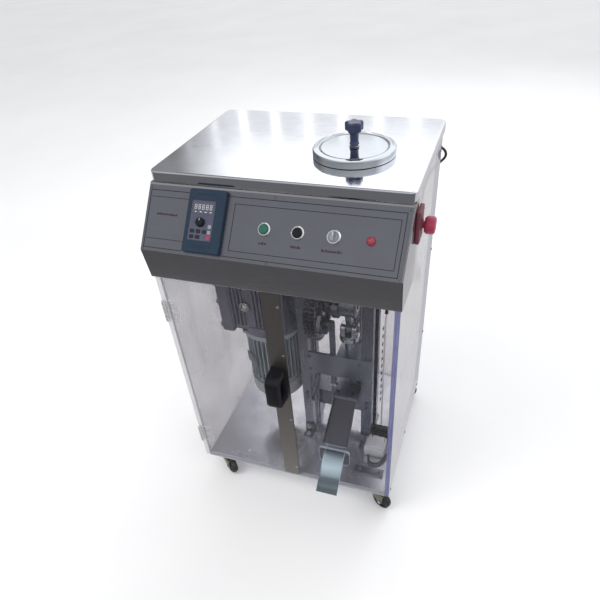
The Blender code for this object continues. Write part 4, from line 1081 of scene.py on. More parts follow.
def build_estop():
    """A red mushroom head on a neck, over a plate screwed to the console's side, whose darker red is painted
    shade.
    """
    base, head = Box("estop_base"), Box("estop_head")
    y, z = base.mid.y, base.mid.z
    half_y, half_z = base.size.y / 2, base.size.z / 2
    shape = Shape()
    plate = rect(y - half_y, z - half_z, y + half_y, z + half_z, 0.004, 5)
    shape.flat(
        [plate, ring_points(y, z, 0.007, 40)], 0, base.size.x, frame_at((base.low.x, 0, 0), Y, Z), 0.0012,
    )
    shape.pipe((base.high.x - 0.001, y, z), (base.high.x + 0.0018, y, z), 0.0105, 0.007, 0.0006, 48)
    for dy in (0.006 - half_y, half_y - 0.006):
        for dz in (0.007 - half_z, half_z - 0.007):
            shape.socket((base.high.x, y + dy, z + dz), X, 0.002, 0.0007)
    piece("estop_plate", shape, RED_PAINTED_SHADE, replaces="estop_base")
    knob = Shape()
    long = 0.018
    place = facing((head.high.x - long, y, z), X)
    radius = head.size.y / 2
    profile = [
        (0, long - 0.0002), (0.0055, long - 0.0002), (0.0066, long - 0.0009), (0.01, long - 0.0009),
        (radius - 0.003, long), (radius - 0.001, long - 0.0012), (radius, long - 0.0032), (radius, 0.0042),
        (radius - 0.0012, 0.0022), (0.012, 0.0004), (0.0114, 0.0), (0.011, 0.0004), (0.011, 0.0024),
        (0, 0.0024),
    ]
    knob.lathe(profile, place, 64)
    for number in range(24):
        turn = place @ spin(number / 24)
        knob.box((radius - 0.0006, -0.0007, 0.0052), (radius + 0.0001, 0.0007, 0.0136), 0.0003, turn)
    knob.rod((head.low.x, y, z), (head.high.x - long + 0.0034, y, z), 0.006, edge=0.0004, count=32)
    piece("estop_mushroom", knob, RED, "estop_control", "estop_head")


# ---------------------------------------------------------------- hopper

def build_hopper():
    """An offset cone that runs down to a spout, with a weld round its neck."""
    cad, lid = Box("hopper"), Box("hopper_lid")
    spout = Vector((lid.mid.x, my(0.036), 0))
    wall = 0.0012
    outer = cad.size.x / 2
    stations = [(spout, cad.low.z, 0.014), (spout, cad.low.z + 0.002, 0.014), (spout, 0.636, 0.014)]
    middle = Vector((lid.mid.x, lid.mid.y, 0))
    for step in range(1, 9):
        share = step / 8
        stations.append((spout.lerp(middle, share), 0.64 + 0.14 * share, 0.014 + (outer - 0.014) * share))
    stations.append((middle, cad.high.z, outer))
    rings = [(c, z, r) for c, z, r in stations] + [(c, z, r - wall) for c, z, r in reversed(stations)]
    shape = Shape()
    rows = []
    for centre, z, radius in rings:
        rows.append([(x, y, z) for x, y in ring_points(centre.x, centre.y, radius, 72)])
    skin = shape.loft(rows)
    for step in range(72):
        after = (step + 1) % 72
        shape.bm.faces.new((skin[-1][step], skin[-1][after], skin[0][after], skin[0][step]))
    piece("hopper_cone", shape, HOPPER, replaces="hopper", smooth=40)
    piece(
        "hopper_weld",
        Shape().pipe((spout.x, spout.y, 0.634), (spout.x, spout.y, 0.6385), 0.0152, 0.0136, 0.0006, 48),
        GROUND,
    )


def build_lid():
    """A flat spun disc with a turned-down wall and a fine groove inside its rim."""
    box = Box("hopper_lid")
    radius, top, low = box.size.x / 2, box.high.z, box.low.z - 0.0018
    skirt, under = radius - 0.005, box.high.z - 0.0055
    profile = [
        (0, top - 0.0005), (radius - 0.016, top - 0.0005), (radius - 0.015, top - 0.0014),
        (radius - 0.0128, top - 0.0014), (radius - 0.0118, top), (radius - 0.003, top),
        (radius - 0.0012, top - 0.0006), (radius - 0.0002, top - 0.002), (radius, top - 0.0034),
        (radius, low + 0.0006), (radius - 0.0006, low), (skirt, low), (skirt, under), (0, under),
    ]
    piece(
        "lid_disc", Shape().lathe(profile, move(box.mid.x, box.mid.y), 128), LID, "lid", "hopper_lid",
        smooth=25,
    )
    # A dark steel ring laid in the groove: painted shade in the groove.
    piece(
        "lid_groove_shade",
        Shape().pipe(
            (box.mid.x, box.mid.y, top - 0.0018), (box.mid.x, box.mid.y, top - 0.0009), radius - 0.013,
            radius - 0.0148, 0.0002, 128,
        ),
        GROUND, "lid",
    )
    build_lid_knob(box)


def build_lid_knob(lid):
    """A five-lobed star grip with its lobes turned off the axis, on a stepped stem over a bright nut."""
    box = Box("lid_knob")
    x, y = lid.mid.x, lid.mid.y
    foot, top = box.low.z, box.high.z
    shape = Shape()
    head_low, radius = top - 0.015, 0.0172
    layers = (
        (0.82, 0.0006), (0.94, 0.0002), (1.0, 0.0016), (1.0, 0.0122), (0.97, 0.014), (0.88, 0.015),
        (0.45, 0.015), (0.3, 0.0146),
    )
    rows = []
    for scale, height in layers:
        row = []
        for step in range(100):
            angle = 2 * math.pi * step / 100
            lobe = 0.9 if scale < 0.6 else 0.85 - 0.15 * math.cos(5 * angle)
            reach = radius * scale * lobe
            row.append((x + reach * math.cos(angle), y + reach * math.sin(angle), head_low + height))
        rows.append(row)
    shape.loft(rows, caps=True)
    long = head_low - foot
    neck = [
        (0, long + 0.002), (0.0124, long + 0.0006), (0.012, long - 0.001), (0.0096, long - 0.0034),
        (0.008, long - 0.007), (0.0076, long - 0.015), (0.0075, long - 0.0205), (0.0086, long - 0.0215),
        (0.0086, long - 0.0238), (0.0072, long - 0.0248), (0.0062, 0.005), (0.0062, 0.0026), (0, 0.0026),
    ]
    shape.lathe(neck, move(x, y, foot), 48)
    piece("star_grip", shape, NAVY, "lid_grip", "lid_knob", smooth=50)
    nut = Shape()
    nut.lathe(
        [(0, 0.0008), (0.0088, 0.0008), (0.0094, 0.0004), (0.0094, 0.0), (0, 0.0)], move(x, y, foot), 40,
    )
    nut.prism(ring_points(x, y, 0.0066, 6, 0.3), foot + 0.0008, foot + 0.003, edge=0.0004)
    piece("grip_nut", nut, BRIGHT, "lid_grip")


def build_cord():
    """The power cord from its gland down to the plug."""
    box = Box("power_cable")
    points = [
        m(0.205, 0.206, 0.735), m(0.212, 0.2205, 0.7345), m(0.224, 0.2295, 0.732), m(0.236, 0.234, 0.7265),
        m(0.2445, 0.235, 0.719), m(0.247, 0.2345, 0.711), m(0.244, 0.2325, 0.7035), m(0.235, 0.2285, 0.695),
        m(0.222, 0.2235, 0.68), m(0.21, 0.22, 0.645), m(0.2045, 0.219, 0.59), m(0.203, 0.218, 0.52),
        m(0.203, 0.218, box.low.z + 0.048),
    ]
    piece(
        "cord", Shape().sweep(smooth_path(points, 6), 0.0029, 16), CORD, replaces="power_cable", smooth=60,
    )
    gland = Shape()
    start = points[0]
    face = Box("rear_panel").high.y
    gland.prism(ring_points(0, 0, 0.0105, 6), 0.0002, 0.006, facing((start.x, face, start.z), Y), 0.0008)
    gland.lathe(
        [(0.0036, 0.006), (0.0085, 0.006), (0.0085, 0.01), (0.007, 0.0145), (0.0036, 0.0155)],
        facing((start.x, face, start.z), Y), 32,
    )
    piece("cord_gland", gland, BLACK)
    end = points[-1]
    plug = Shape()
    rings = [
        (0.0045, 0.004), (0.006, 0.0), (0.009, -0.006), (0.015, -0.014), (0.016, -0.024), (0.0158, -0.044),
        (0.0145, -0.0455),
    ]
    rows = []
    for reach, drop in rings:
        depth = min(reach, 0.0118)
        outline = rect(-reach, -depth, reach, depth, depth * 0.6, 6)
        rows.append([(end.x + px, end.y + py, end.z + drop) for px, py in outline])
    plug.loft(rows, caps=True)
    for drop in (-0.0008, 0.002):
        plug.pipe(
            (end.x, end.y, end.z + drop), (end.x, end.y, end.z + drop + 0.0012), 0.0058, 0.0034, 0.0003, 24,
        )
    piece("cord_plug", plug, BLACK, smooth=50)


def smooth_path(points, steps):
    """A Catmull-Rom curve through the points."""
    made = []
    for number in range(len(points) - 1):
        p0 = points[max(number - 1, 0)]
        p1, p2 = points[number], points[number + 1]
        p3 = points[min(number + 2, len(points) - 1)]
        for step in range(steps):
            t = step / steps
            square, cube = 2 * p0 - 5 * p1 + 4 * p2 - p3, 3 * p1 - p0 - 3 * p2 + p3
            made.append(0.5 * (2 * p1 + (p2 - p0) * t + square * t * t + cube * t ** 3))
    made.append(points[-1])
    return made


# ---------------------------------------------------------------- gearbox and motor

def build_gearbox():
    """A ribbed worm gear case with its bearing hub, oil sight and bolts."""
    box = Box("gearbox")
    motor = Box("motor_body")
    x0, x1 = box.low.x + 0.024, box.high.x - 0.012
    y0, z0, z1 = box.low.y, motor.high.z + 0.0103, box.high.z
    y1 = my(0.072)
    shape = Shape()
    shape.box((x0, y0 + 0.006, z0), (x1, y1, z1 - 0.0005), 0.006, steps=3)
    pinion = Box("pinion")
    py, pz = pinion.mid.y, pinion.mid.z
    shape.rod(
        (x0 + 0.004, py - 0.02, pz + 0.006), (x1 - 0.004, py - 0.02, pz + 0.006), 0.068, edge=0.004,
        count=72,
    )
    shape.pipe((x1 - 0.012, py, pz), (box.high.x, py, pz), 0.032, 0.0113, 0.002, 56)
    shape.rod(
        (motor.mid.x, motor.mid.y, z0 - 0.01), (motor.mid.x, motor.mid.y, z0 + 0.012), 0.072, edge=0.002,
        count=72,
    )
    shape.box((box.low.x, y0, z0 - 0.006), (x0 + 0.006, y0 + 0.118, z1 - 0.018), 0.005, steps=3)
    piece("gear_case", shape, GEARBOX_PAINT, replaces="gearbox", smooth=40)
    fins = Shape()
    count = 14
    for number in range(count):
        x = x0 + 0.008 + (x1 - x0 - 0.016) * number / (count - 1)
        if number in (4, 5):
            continue
        outline = [
            (y0 + 0.009, z0 + 0.012), (y0 + 0.0005, z0 + 0.018), (y0 + 0.0005, z1 - 0.02),
            (y0 + 0.009, z1 - 0.01),
        ]
        fins.prism(outline, -0.0018, 0.0018, frame_at((x, 0, 0), Y, Z), 0.0007)
    for number in range(7):
        y = y0 + 0.022 + 0.013 * number
        outline = [
            (x0 - 0.02, z0 + 0.01), (x0 - 0.0255, z0 + 0.016), (x0 - 0.0255, z1 - 0.042),
            (x0 - 0.02, z1 - 0.034),
        ]
        fins.prism(outline, -0.002, 0.002, frame_at((0, y, 0), X, Z), 0.0007)
    piece("gear_case_fins", fins, GEARBOX_PAINT)
    fittings = Shape()
    sight = Vector((x0 + 0.04, y0 + 0.0062, pz + 0.012))
    fittings.pipe(sight, sight + Vector((0, -0.0085, 0)), 0.012, 0.0072, 0.001, 40)
    fittings.prism(
        ring_points(0, 0, 0.0098, 6), 0.0, 0.0055, facing((x0 + 0.03, y0 + 0.012, z0 - 0.001), -Z), 0.0008,
    )
    piece("oil_sight_ring", fittings, BRIGHT)
    piece(
        "oil_sight_glass",
        Shape().lathe([(0, 0.0052), (0.006, 0.0048), (0.0072, 0.004), (0.0072, 0.0)], facing(sight, -Y), 32),
        CREAM,
    )
    bolts = Shape()
    for y in (y0 + 0.01, y0 + 0.108):
        for z in (z0 + 0.006, z0 + 0.07, z1 - 0.03):
            bolts.screw((box.low.x, y, z), -X, 0.0055)
    for number in range(6):
        angle = math.pi / 6 + math.pi / 3 * number
        bolts.socket((box.high.x, py + 0.0245 * math.cos(angle), pz + 0.0245 * math.sin(angle)), X, 0.0034)
    for number in range(4):
        angle = math.pi / 4 + math.pi / 2 * number
        bolts.screw(
            (motor.mid.x + 0.064 * math.cos(angle), motor.mid.y + 0.064 * math.sin(angle), z0 - 0.0226), -Z,
            0.0048,
        )
    piece("gear_case_bolts", bolts, GROUND)


def build_motor():
    """A finned motor hung under the gear case, with a terminal box."""
    body, cowl = Box("motor_body"), Box("motor_fan_cowl")
    x, y = cowl.mid.x, cowl.mid.y
    low, top = body.low.z, body.high.z
    radius = cowl.size.x / 2 - 0.001
    shape = Shape()
    core = radius - 0.012
    shape.lathe(
        [
            (0, top), (0.071, top), (0.072, top - 0.001), (0.072, top - 0.011), (0.07, top - 0.013),
            (core + 0.004, top - 0.02), (core + 0.004, top - 0.028), (core, top - 0.03), (core, low + 0.01),
            (radius - 0.004, low + 0.008), (radius - 0.003, low), (0, low),
        ],
        move(x, y), 96,
    )
    piece("motor_frame", shape, MOTOR_PAINT, replaces="motor_body", smooth=40)
    fins = Shape()
    count = 36
    for number in range(count):
        turn = move(x, y) @ spin((number + 0.5) / count)
        outline = [
            (core - 0.002, low + 0.006), (radius, low + 0.006), (radius, top - 0.026),
            (radius - 0.005, top - 0.019), (core - 0.002, top - 0.019),
        ]
        fins.prism(outline, -0.0011, 0.0011, turn @ frame_at((0, 0, 0), X, Z), 0.0005)
    piece("motor_fins", fins, MOTOR_PAINT)
    case = Shape()
    side = move(x, y) @ Matrix.Rotation(math.radians(118), 4, "Z")
    case.box((core - 0.004, -0.03, low + 0.052), (radius + 0.02, 0.03, top - 0.026), 0.005, side, 3)
    case.box((radius + 0.019, -0.031, low + 0.05), (radius + 0.0245, 0.031, top - 0.024), 0.0025, side, 2)
    for dy in (-0.025, 0.025):
        for z in (low + 0.056, top - 0.03):
            spot = side @ Vector((radius + 0.0245, dy, z))
            case.socket(spot, side.to_3x3() @ X, 0.0028, 0.0022)
    piece("motor_terminal_box", case, MOTOR_PAINT)
    plate = Shape()
    front = move(x, y) @ Matrix.Rotation(math.radians(-128), 4, "Z")
    plate.box((radius + 0.0002, -0.022, low + 0.05), (radius + 0.001, 0.022, low + 0.082), 0.0003, front)
    piece("motor_plate", plate, BRUSHED)
    build_cowl(cowl, x, y)


def build_cowl(cowl, x, y):
    """The pressed fan cover with a slotted end grille."""
    low, top = cowl.low.z, cowl.high.z
    rim = cowl.size.x / 2
    shape = Shape()
    profile = [
        (rim - 0.003, top - 0.0004), (rim, top - 0.0004), (rim, top - 0.004), (rim - 0.001, top - 0.0055),
        (rim - 0.0008, low + 0.02), (rim - 0.0025, low + 0.011), (rim - 0.007, low + 0.0045),
        (rim - 0.014, low + 0.0012), (rim - 0.02, low), (0.046, low),
    ]
    shape.lathe(profile, move(x, y), 96)
    for inner in (0.041, 0.034, 0.027, 0.02, 0.013):
        shape.pipe((x, y, low), (x, y, low + 0.0016), inner, inner - 0.0024, 0.0004, 64)
    shape.lathe([(0, low), (0.0075, low), (0.0075, low + 0.0016), (0, low + 0.0016)], move(x, y), 32)
    for number in range(8):
        turn = move(x, y) @ spin(number / 8)
        shape.box((0.005, -0.0016, low + 0.0002), (0.0475, 0.0016, low + 0.002), 0.0003, turn)
    piece("fan_cowl", shape, COWL_PAINT, replaces="motor_fan_cowl", smooth=40)
    fan = Shape()
    fan.rod((x, y, low + 0.01), (x, y, top - 0.002), 0.016, edge=0.001)
    for number in range(9):
        turn = move(x, y) @ spin(number / 9)
        fan.box((0.014, -0.001, low + 0.01), (rim - 0.01, 0.001, top - 0.008), 0.0004, turn)
    piece("motor_fan", fan, BLACK)


# ---------------------------------------------------------------- drive

def toothed(teeth, turn, tooth):
    """An outline that repeats a tooth of (share of a pitch, radius) points about a centre."""
    points = []
    for number in range(teeth):
        for share, reach in tooth:
            angle = turn + 2 * math.pi * (number + share) / teeth
            points.append((reach * math.cos(angle), reach * math.sin(angle)))
    return points


def tooth_outline(teeth, turn):
    """A spur gear's outline with rounded flanks."""
    pitch = MODULE * teeth / 2
    root, tip = pitch - 1.2 * MODULE, pitch + 0.95 * MODULE
    flank = [
        (-0.345, root), (-0.3, root + 0.25 * MODULE), (-0.235, pitch - 0.35 * MODULE),
        (-0.19, pitch + 0.3 * MODULE), (-0.125, tip),
    ]
    return toothed(teeth, turn, flank + [(-share, reach) for share, reach in reversed(flank)])


def build_gears():
    """The large gear with its holed web and key, and the pinion that drives it."""
    box, small = Box("drive_gear"), Box("pinion")
    y, z = box.mid.y, box.mid.z
    place = frame_at((0, y, z), Y, Z)
    x0, x1 = box.low.x, box.high.x
    shape = Shape()
    rim = 0.0665
    shape.flat(
        [tooth_outline(GEAR_TEETH, math.pi / GEAR_TEETH), ring_points(0, 0, rim, 96)], x0, x1, place,
        0.0006,
    )
    web = [ring_points(0, 0, rim + 0.001, 96), ring_points(0, 0, 0.0146, 48)]
    for number in range(5):
        angle = 2 * math.pi * number / 5 + math.radians(50)
        web.append(ring_points(0.045 * math.cos(angle), 0.045 * math.sin(angle), 0.0125, 36))
    shape.flat(web, x0 + 0.009, x1 - 0.009, place, 0.0008)
    shape.pipe((x0, y, z), (x1, y, z), 0.026, 0.0145, 0.0012, 56)
    for low, high in ((x0 + 0.0085, x0 + 0.0095), (x1 - 0.0095, x1 - 0.0085)):
        shape.pipe((low, y, z), (high, y, z), 0.03, 0.0146, 0.0004, 56)
    piece("bull_gear", shape, TOOTHED, "crank", "drive_gear")
    piece(
        "gear_key",
        Shape().box((x0 - 0.003, y - 0.004, z + 0.0125), (x1 + 0.001, y + 0.004, z + 0.0178), 0.0005),
        BRIGHT, "crank",
    )

    py = my(0.0735)
    place = frame_at((0, py, z), Y, Z)
    shape = Shape()
    shape.flat(
        [tooth_outline(PINION_TEETH, math.pi), ring_points(0, 0, 0.011, 40)], x0 - 0.002, x1 + 0.002, place,
        0.0005,
    )
    shape.rod((small.low.x, py, z), (small.high.x, py, z), 0.011, edge=0.001, count=48)
    shape.pipe((x1 + 0.0022, py, z), (x1 + 0.0045, py, z), 0.0155, 0.011, 0.0004, 40)
    piece("drive_pinion", shape, TOOTHED, "pinion_shaft", "pinion")


def build_crank():
    """The crank shaft with its cam, disc and pin, and its bearing housing."""
    box, gear = Box("crank_shaft"), Box("drive_gear")
    y, z = gear.mid.y, gear.mid.z
    shape = Shape()
    shape.rod((box.low.x, y, z), (gear.low.x + 0.001, y, z), 0.0142, edge=0.0012, count=56)
    shape.rod((gear.high.x - 0.001, y, z), (mx(0.07), y, z), 0.0142, edge=0.0012, count=56)
    shape.rod((mx(0.0475), y, z + 0.004), (mx(0.06), y, z + 0.004), 0.0214, edge=0.001, count=72)
    shape.pipe((mx(0.0605), y, z), (mx(0.0655), y, z), 0.018, 0.014, 0.0006, 48)
    shape.rod((mx(0.066), y, z), (mx(0.08), y, z), 0.0259, edge=0.001, count=72)
    shape.rod((mx(0.079), y, z + 0.012), (box.high.x, y, z + 0.012), 0.0099, edge=0.0004, count=48)
    piece("crank", shape, GROUND, "crank", "crank_shaft")
    bearing = Box("crank_bearing")
    bx = bearing.low.x
    house = Shape()
    house.pipe((bx, y, z), (bearing.high.x - 0.0205, y, z), 0.031, 0.0148, 0.0016, 64)
    house.pipe((bx - 0.0002, y, z), (bx + 0.0015, y, z), 0.021, 0.015, 0.0004, 48)
    house.box(
        (bearing.high.x - 0.025, bearing.mid.y - 0.018, z - 0.029),
        (bearing.high.x, bearing.mid.y + 0.018, z - 0.0155), 0.0016,
    )
    house.box(
        (bearing.high.x - 0.025, bearing.mid.y - 0.018, z + 0.0155),
        (bearing.high.x, bearing.mid.y + 0.018, z + 0.029), 0.0016,
    )
    # Dark blue paint on the housing, darkened further as painted shade.
    piece("bearing_housing", house, BEARING_PAINT_AND_SHADE, replaces="crank_bearing")
    bolts = Shape()
    for number in range(4):
        angle = math.pi / 4 + math.pi / 2 * number
        bolts.screw(
            (bx, y + 0.0255 * math.cos(angle), z + 0.0255 * math.sin(angle)), -X, 0.003, hexagon=False,
        )
    bolts.prism(ring_points(0, 0, 0.0095, 6), 0, 0.006, facing((bx + 0.012, y, z + 0.0305), Z), 0.0008)
    piece("bearing_bolts", bolts, BRIGHT)


# ---------------------------------------------------------------- press

def build_frame():
    """Bolts on the beam and guide, and angle feet under the uprights."""
    for node in ("left_upright", "right_upright", "rear_frame", "upper_beam", "lower_crossbar"):
        dress(node, BRUSHED, 0.0008)
    dress("ram_guide", APRON, 0.001)
    bolts = Shape()
    beam = Box("upper_beam")
    for node in ("left_upright", "right_upright"):
        post = Box(node)
        for y in (post.mid.y, my(0.002)):
            bolts.screw((post.mid.x, y, beam.high.z), Z, 0.0058)
        for lift in (0.125, 0.142):
            bolts.socket((post.mid.x, post.low.y, post.low.z + lift), -Y, 0.0042)
    guide = Box("ram_guide")
    for x in (Box("left_upright").mid.x + 0.016, Box("right_upright").mid.x - 0.016):
        for z in (guide.low.z + 0.012, guide.high.z - 0.012):
            bolts.socket((x, guide.low.y, z), -Y, 0.0036)
    for x in (beam.low.x + 0.02, beam.low.x + 0.11):
        for y in (beam.low.y + 0.018, beam.high.y - 0.018):
            bolts.screw((x, y, beam.high.z), Z, 0.0052)
    piece("frame_bolts", bolts, GROUND)
    feet = Shape()
    foot_bolts = Shape()
    top = BASE.high.z
    for node in ("left_upright", "right_upright"):
        post = Box(node)
        for y0, out in ((post.low.y, -1), (my(0.011), 1)):
            a, b = sorted((y0 + out * 0.0002, y0 + out * 0.005))
            feet.box((post.low.x, a, top + 0.0002), (post.high.x, b, top + 0.03), 0.0008)
            a, b = sorted((y0 + out * 0.0002, y0 + out * 0.026))
            feet.box((post.low.x, a, top + 0.0002), (post.high.x, b, top + 0.005), 0.0008)
            foot_bolts.screw((post.mid.x, y0 + out * 0.016, top + 0.005), Z, 0.0048)
            foot_bolts.screw((post.mid.x, y0 + out * 0.005, top + 0.019), Y * out, 0.004)
    piece("frame_feet", feet, BRUSHED)
    piece("frame_foot_bolts", foot_bolts, BRIGHT)


def build_rod():
    """The connecting rod, the forked ram with its wrist pin, and the upper punch."""
    box, ram = Box("connecting_rod"), Box("ram")
    x, y = box.mid.x, box.mid.y
    small_z = JOINTS["rod_swing"]["pos_m"][2]
    big_z = box.high.z - 0.029
    half = box.size.x / 2
    shape = Shape()
    shape.pipe((x - half, y, big_z), (x + half, y, big_z), 0.029, 0.0104, 0.0016, 72)
    place = frame_at((x, y, 0), Y, Z)
    waist = fillet(
        [
            (-0.021, big_z - 0.014), (0.021, big_z - 0.014), (0.0082, small_z + 0.01),
            (-0.0082, small_z + 0.01),
        ],
        0.002, 3,
    )
    shape.prism(waist, -0.0065, 0.0065, place, 0.0012)
    shape.pipe((x - 0.0065, y, small_z), (x + 0.0065, y, small_z), 0.012, 0.0053, 0.001, 48)
    piece("pitman", shape, GROUND, "rod", "connecting_rod")
    trim = Shape()
    trim.pipe((x + half - 0.0006, y, big_z), (x + half + 0.0014, y, big_z), 0.0165, 0.0104, 0.0004, 48)
    for dy in (-0.0215, 0.0215):
        trim.socket((x + 0.01, y + dy * 0.72, big_z + 0.0215), Z, 0.0036)
    piece("pitman_cap", trim, BRIGHT, "rod")

    low = ram.low.z
    shape = Shape()
    profile = [
        (0, low), (0.0107, low), (0.0115, low + 0.001), (0.0115, 0.379), (0.0225, 0.38), (0.0235, 0.3812),
        (0.0235, 0.389), (0.0225, 0.39), (0.0195, 0.3905), (0.0195, 0.3945), (0, 0.3945),
    ]
    shape.lathe(profile, move(x, y), 64)
    for side in (-1, 1):
        a, b = sorted((side * 0.0071, side * 0.019))
        outline = fillet(
            [(-0.015, 0.394), (0.015, 0.394), (0.015, 0.422), (-0.015, 0.422)], [0, 0, 0.01, 0.01], 8,
        )
        shape.prism(outline, a, b, place, 0.001)
    piece("ram_fork", shape, BRIGHT, "ram_slide", "ram")
    pin = Shape()
    pin.rod((x - 0.022, y, small_z), (x + 0.022, y, small_z), 0.005, edge=0.0008, count=36)
    for side in (-1, 1):
        pin.pipe((x + side * 0.0192, y, small_z), (x + side * 0.0206, y, small_z), 0.008, 0.005, 0.0003, 36)
    piece("wrist_pin", pin, GROUND, "ram_slide")
    punch = Box("upper_punch")
    shape = Shape()
    profile = [
        (0, 0), (0.0034, 0), (0.004, 0.0006), (0.004, 0.0098), (0.0058, 0.0108), (0.0095, 0.0112),
        (0.0095, 0.02), (0.0088, punch.size.z), (0, punch.size.z),
    ]
    shape.lathe(profile, move(x, y, punch.low.z), 48)
    piece("punch_upper", shape, BRIGHT, "ram_slide", "upper_punch")


def build_table():
    """The die in its table, and the feed shoe with its well and pin."""
    dress("die_table", GROUND, 0.0012)
    table, die, shoe = Box("die_table"), Box("die"), Box("feed_shoe")
    x, y = die.mid.x, die.mid.y
    piece(
        "die_ring", Shape().pipe((x, y, die.low.z), (x, y, die.high.z), 0.011, 0.0042, 0.0005, 56), BRIGHT,
        replaces="die",
    )
    bolts = Shape()
    for dx, dy in ((-0.014, -0.06), (0.022, -0.06), (-0.014, 0.08), (0.022, 0.08), (0.026, -0.018)):
        bolts.socket((x + dx, y + dy, table.high.z), Z, 0.0036)
    piece("table_screws", bolts, BLACKENED)
    shape = Shape()
    low = shoe.low.z
    nose = fillet(
        [
            (shoe.low.x + 0.001, shoe.low.y), (shoe.high.x - 0.001, shoe.low.y),
            (shoe.high.x - 0.001, shoe.low.y + 0.034), (shoe.low.x + 0.001, shoe.low.y + 0.034),
        ],
        [0.006, 0.006, 0.001, 0.001], 5,
    )
    hollow = rect(shoe.mid.x - 0.0085, shoe.low.y + 0.004, shoe.mid.x + 0.0085, shoe.low.y + 0.03, 0.003, 4)
    shape.flat([nose, hollow], low, low + 0.007, edge=0.0005)
    shape.flat([nose], low + 0.0065, low + 0.0115, edge=0.0008)
    block = rect(shoe.low.x, shoe.high.y - 0.041, shoe.high.x, shoe.high.y, 0.003, 4)
    well = ring_points(shoe.mid.x, my(0.036), 0.0115, 48)
    shape.flat([block, well], low + 0.0002, shoe.high.z, edge=0.0012)
    piece("feeder", shape, BRIGHT, "shoe", "feed_shoe")
    link = Shape()
    link.rod(
        (shoe.low.x - 0.0035, shoe.high.y - 0.01, low + 0.01),
        (shoe.low.x + 0.001, shoe.high.y - 0.01, low + 0.01), 0.0045, edge=0.0006,
    )
    link.socket((shoe.mid.x, shoe.high.y - 0.008, shoe.high.z), Z, 0.003)
    piece("feeder_pin", link, GROUND, "shoe")


def build_lower_tools():
    """The lower punch and the toothed ring that sets its depth."""
    punch, ring, bar = Box("lower_punch"), Box("adjuster_gear"), Box("lift_rod")
    x, y = punch.mid.x, punch.mid.y
    low, high = punch.low.z, punch.high.z
    shape = Shape()
    profile = [
        (0, low), (0.005, low), (0.0055, low + 0.0006), (0.0055, high - 0.02), (0.0039, high - 0.018),
        (0.0039, high - 0.0005), (0.0034, high), (0, high),
    ]
    shape.lathe(profile, move(x, y), 40)
    piece("punch_lower", shape, BRIGHT, "lower_tool", "lower_punch")
    shape = Shape()
    outline = toothed(36, 0.0, ((-0.35, 0.0203), (-0.13, 0.0224), (0.13, 0.0224), (0.35, 0.0203)))
    at = move(ring.mid.x, ring.mid.y)
    shape.flat([outline, ring_points(0, 0, 0.0086, 40)], ring.low.z, ring.low.z + 0.0085, at, 0.0004)
    shape.pipe((x, y, ring.low.z + 0.008), (x, y, ring.high.z), 0.013, 0.0086, 0.0006, 48)
    piece("fill_adjuster", shape, TOOTHED, "adjuster", "adjuster_gear")
    build_lift_rod(bar, x, y)


def build_lift_rod(bar, x, y):
    """The cranked bar that lifts the lower punch, and the roller at its top."""
    roller = Box("cam_roller")
    x0, x1 = mx(0.063), mx(0.075)
    y0, y1 = bar.low.y, my(-0.0525)
    z0, z1 = bar.low.z, bar.high.z
    shape = Shape()
    outline = fillet(
        [(x0, z0), (x1, z0), (x1, z1), (x0 - 0.0165, z1), (x0 - 0.0165, z1 - 0.0115), (x0, z1 - 0.0115)],
        [0.002, 0.002, 0.004, 0.003, 0.002, 0.004], 5,
    )
    shape.flat([outline], 0, y1 - y0, frame_at((0, y1, 0), X, Z), 0.001)
    shape.box((x0, y0, z0), (x + 0.01, y + 0.01, z0 + 0.012), 0.001)
    shape.rod((x, y, z0 + 0.01), (x, y, Box("lower_punch").low.z - 0.0003), 0.0095, edge=0.0008)
    axle = roller.mid
    shape.rod(
        (roller.low.x - 0.001, axle.y, axle.z), (x0 + 0.001, axle.y, axle.z), 0.0035, edge=0.0004, count=24,
    )
    piece("lift_bar", shape, GROUND, "lower_tool", "lift_rod")
    wheel = Shape()
    profile = [
        (0.0038, -0.006), (0.0085, -0.006), (0.0092, -0.0052), (0.0105, -0.0046), (0.0105, 0.0046),
        (0.0092, 0.0052), (0.0085, 0.006), (0.0038, 0.006), (0.0038, -0.006),
    ]
    wheel.lathe(profile, facing(axle, X), 40)
    piece("roller", wheel, NAVY, "roller", "cam_roller")
    collars = Shape()
    for z in (0.25, 0.3):
        collars.box((x0 - 0.002, y0 - 0.0004, z), (x1 + 0.002, y1 + 0.002, z + 0.012), 0.001)
    piece("lift_bar_collars", collars, BRIGHT, "lower_tool")


def chute_frame():
    """X across, Y up the chute's slope and Z out of its floor, from the top of the floor."""
    slope = math.radians(38)
    return frame_at(m(0, -0.1045, 0.258), X, (0, math.cos(slope), math.sin(slope)))


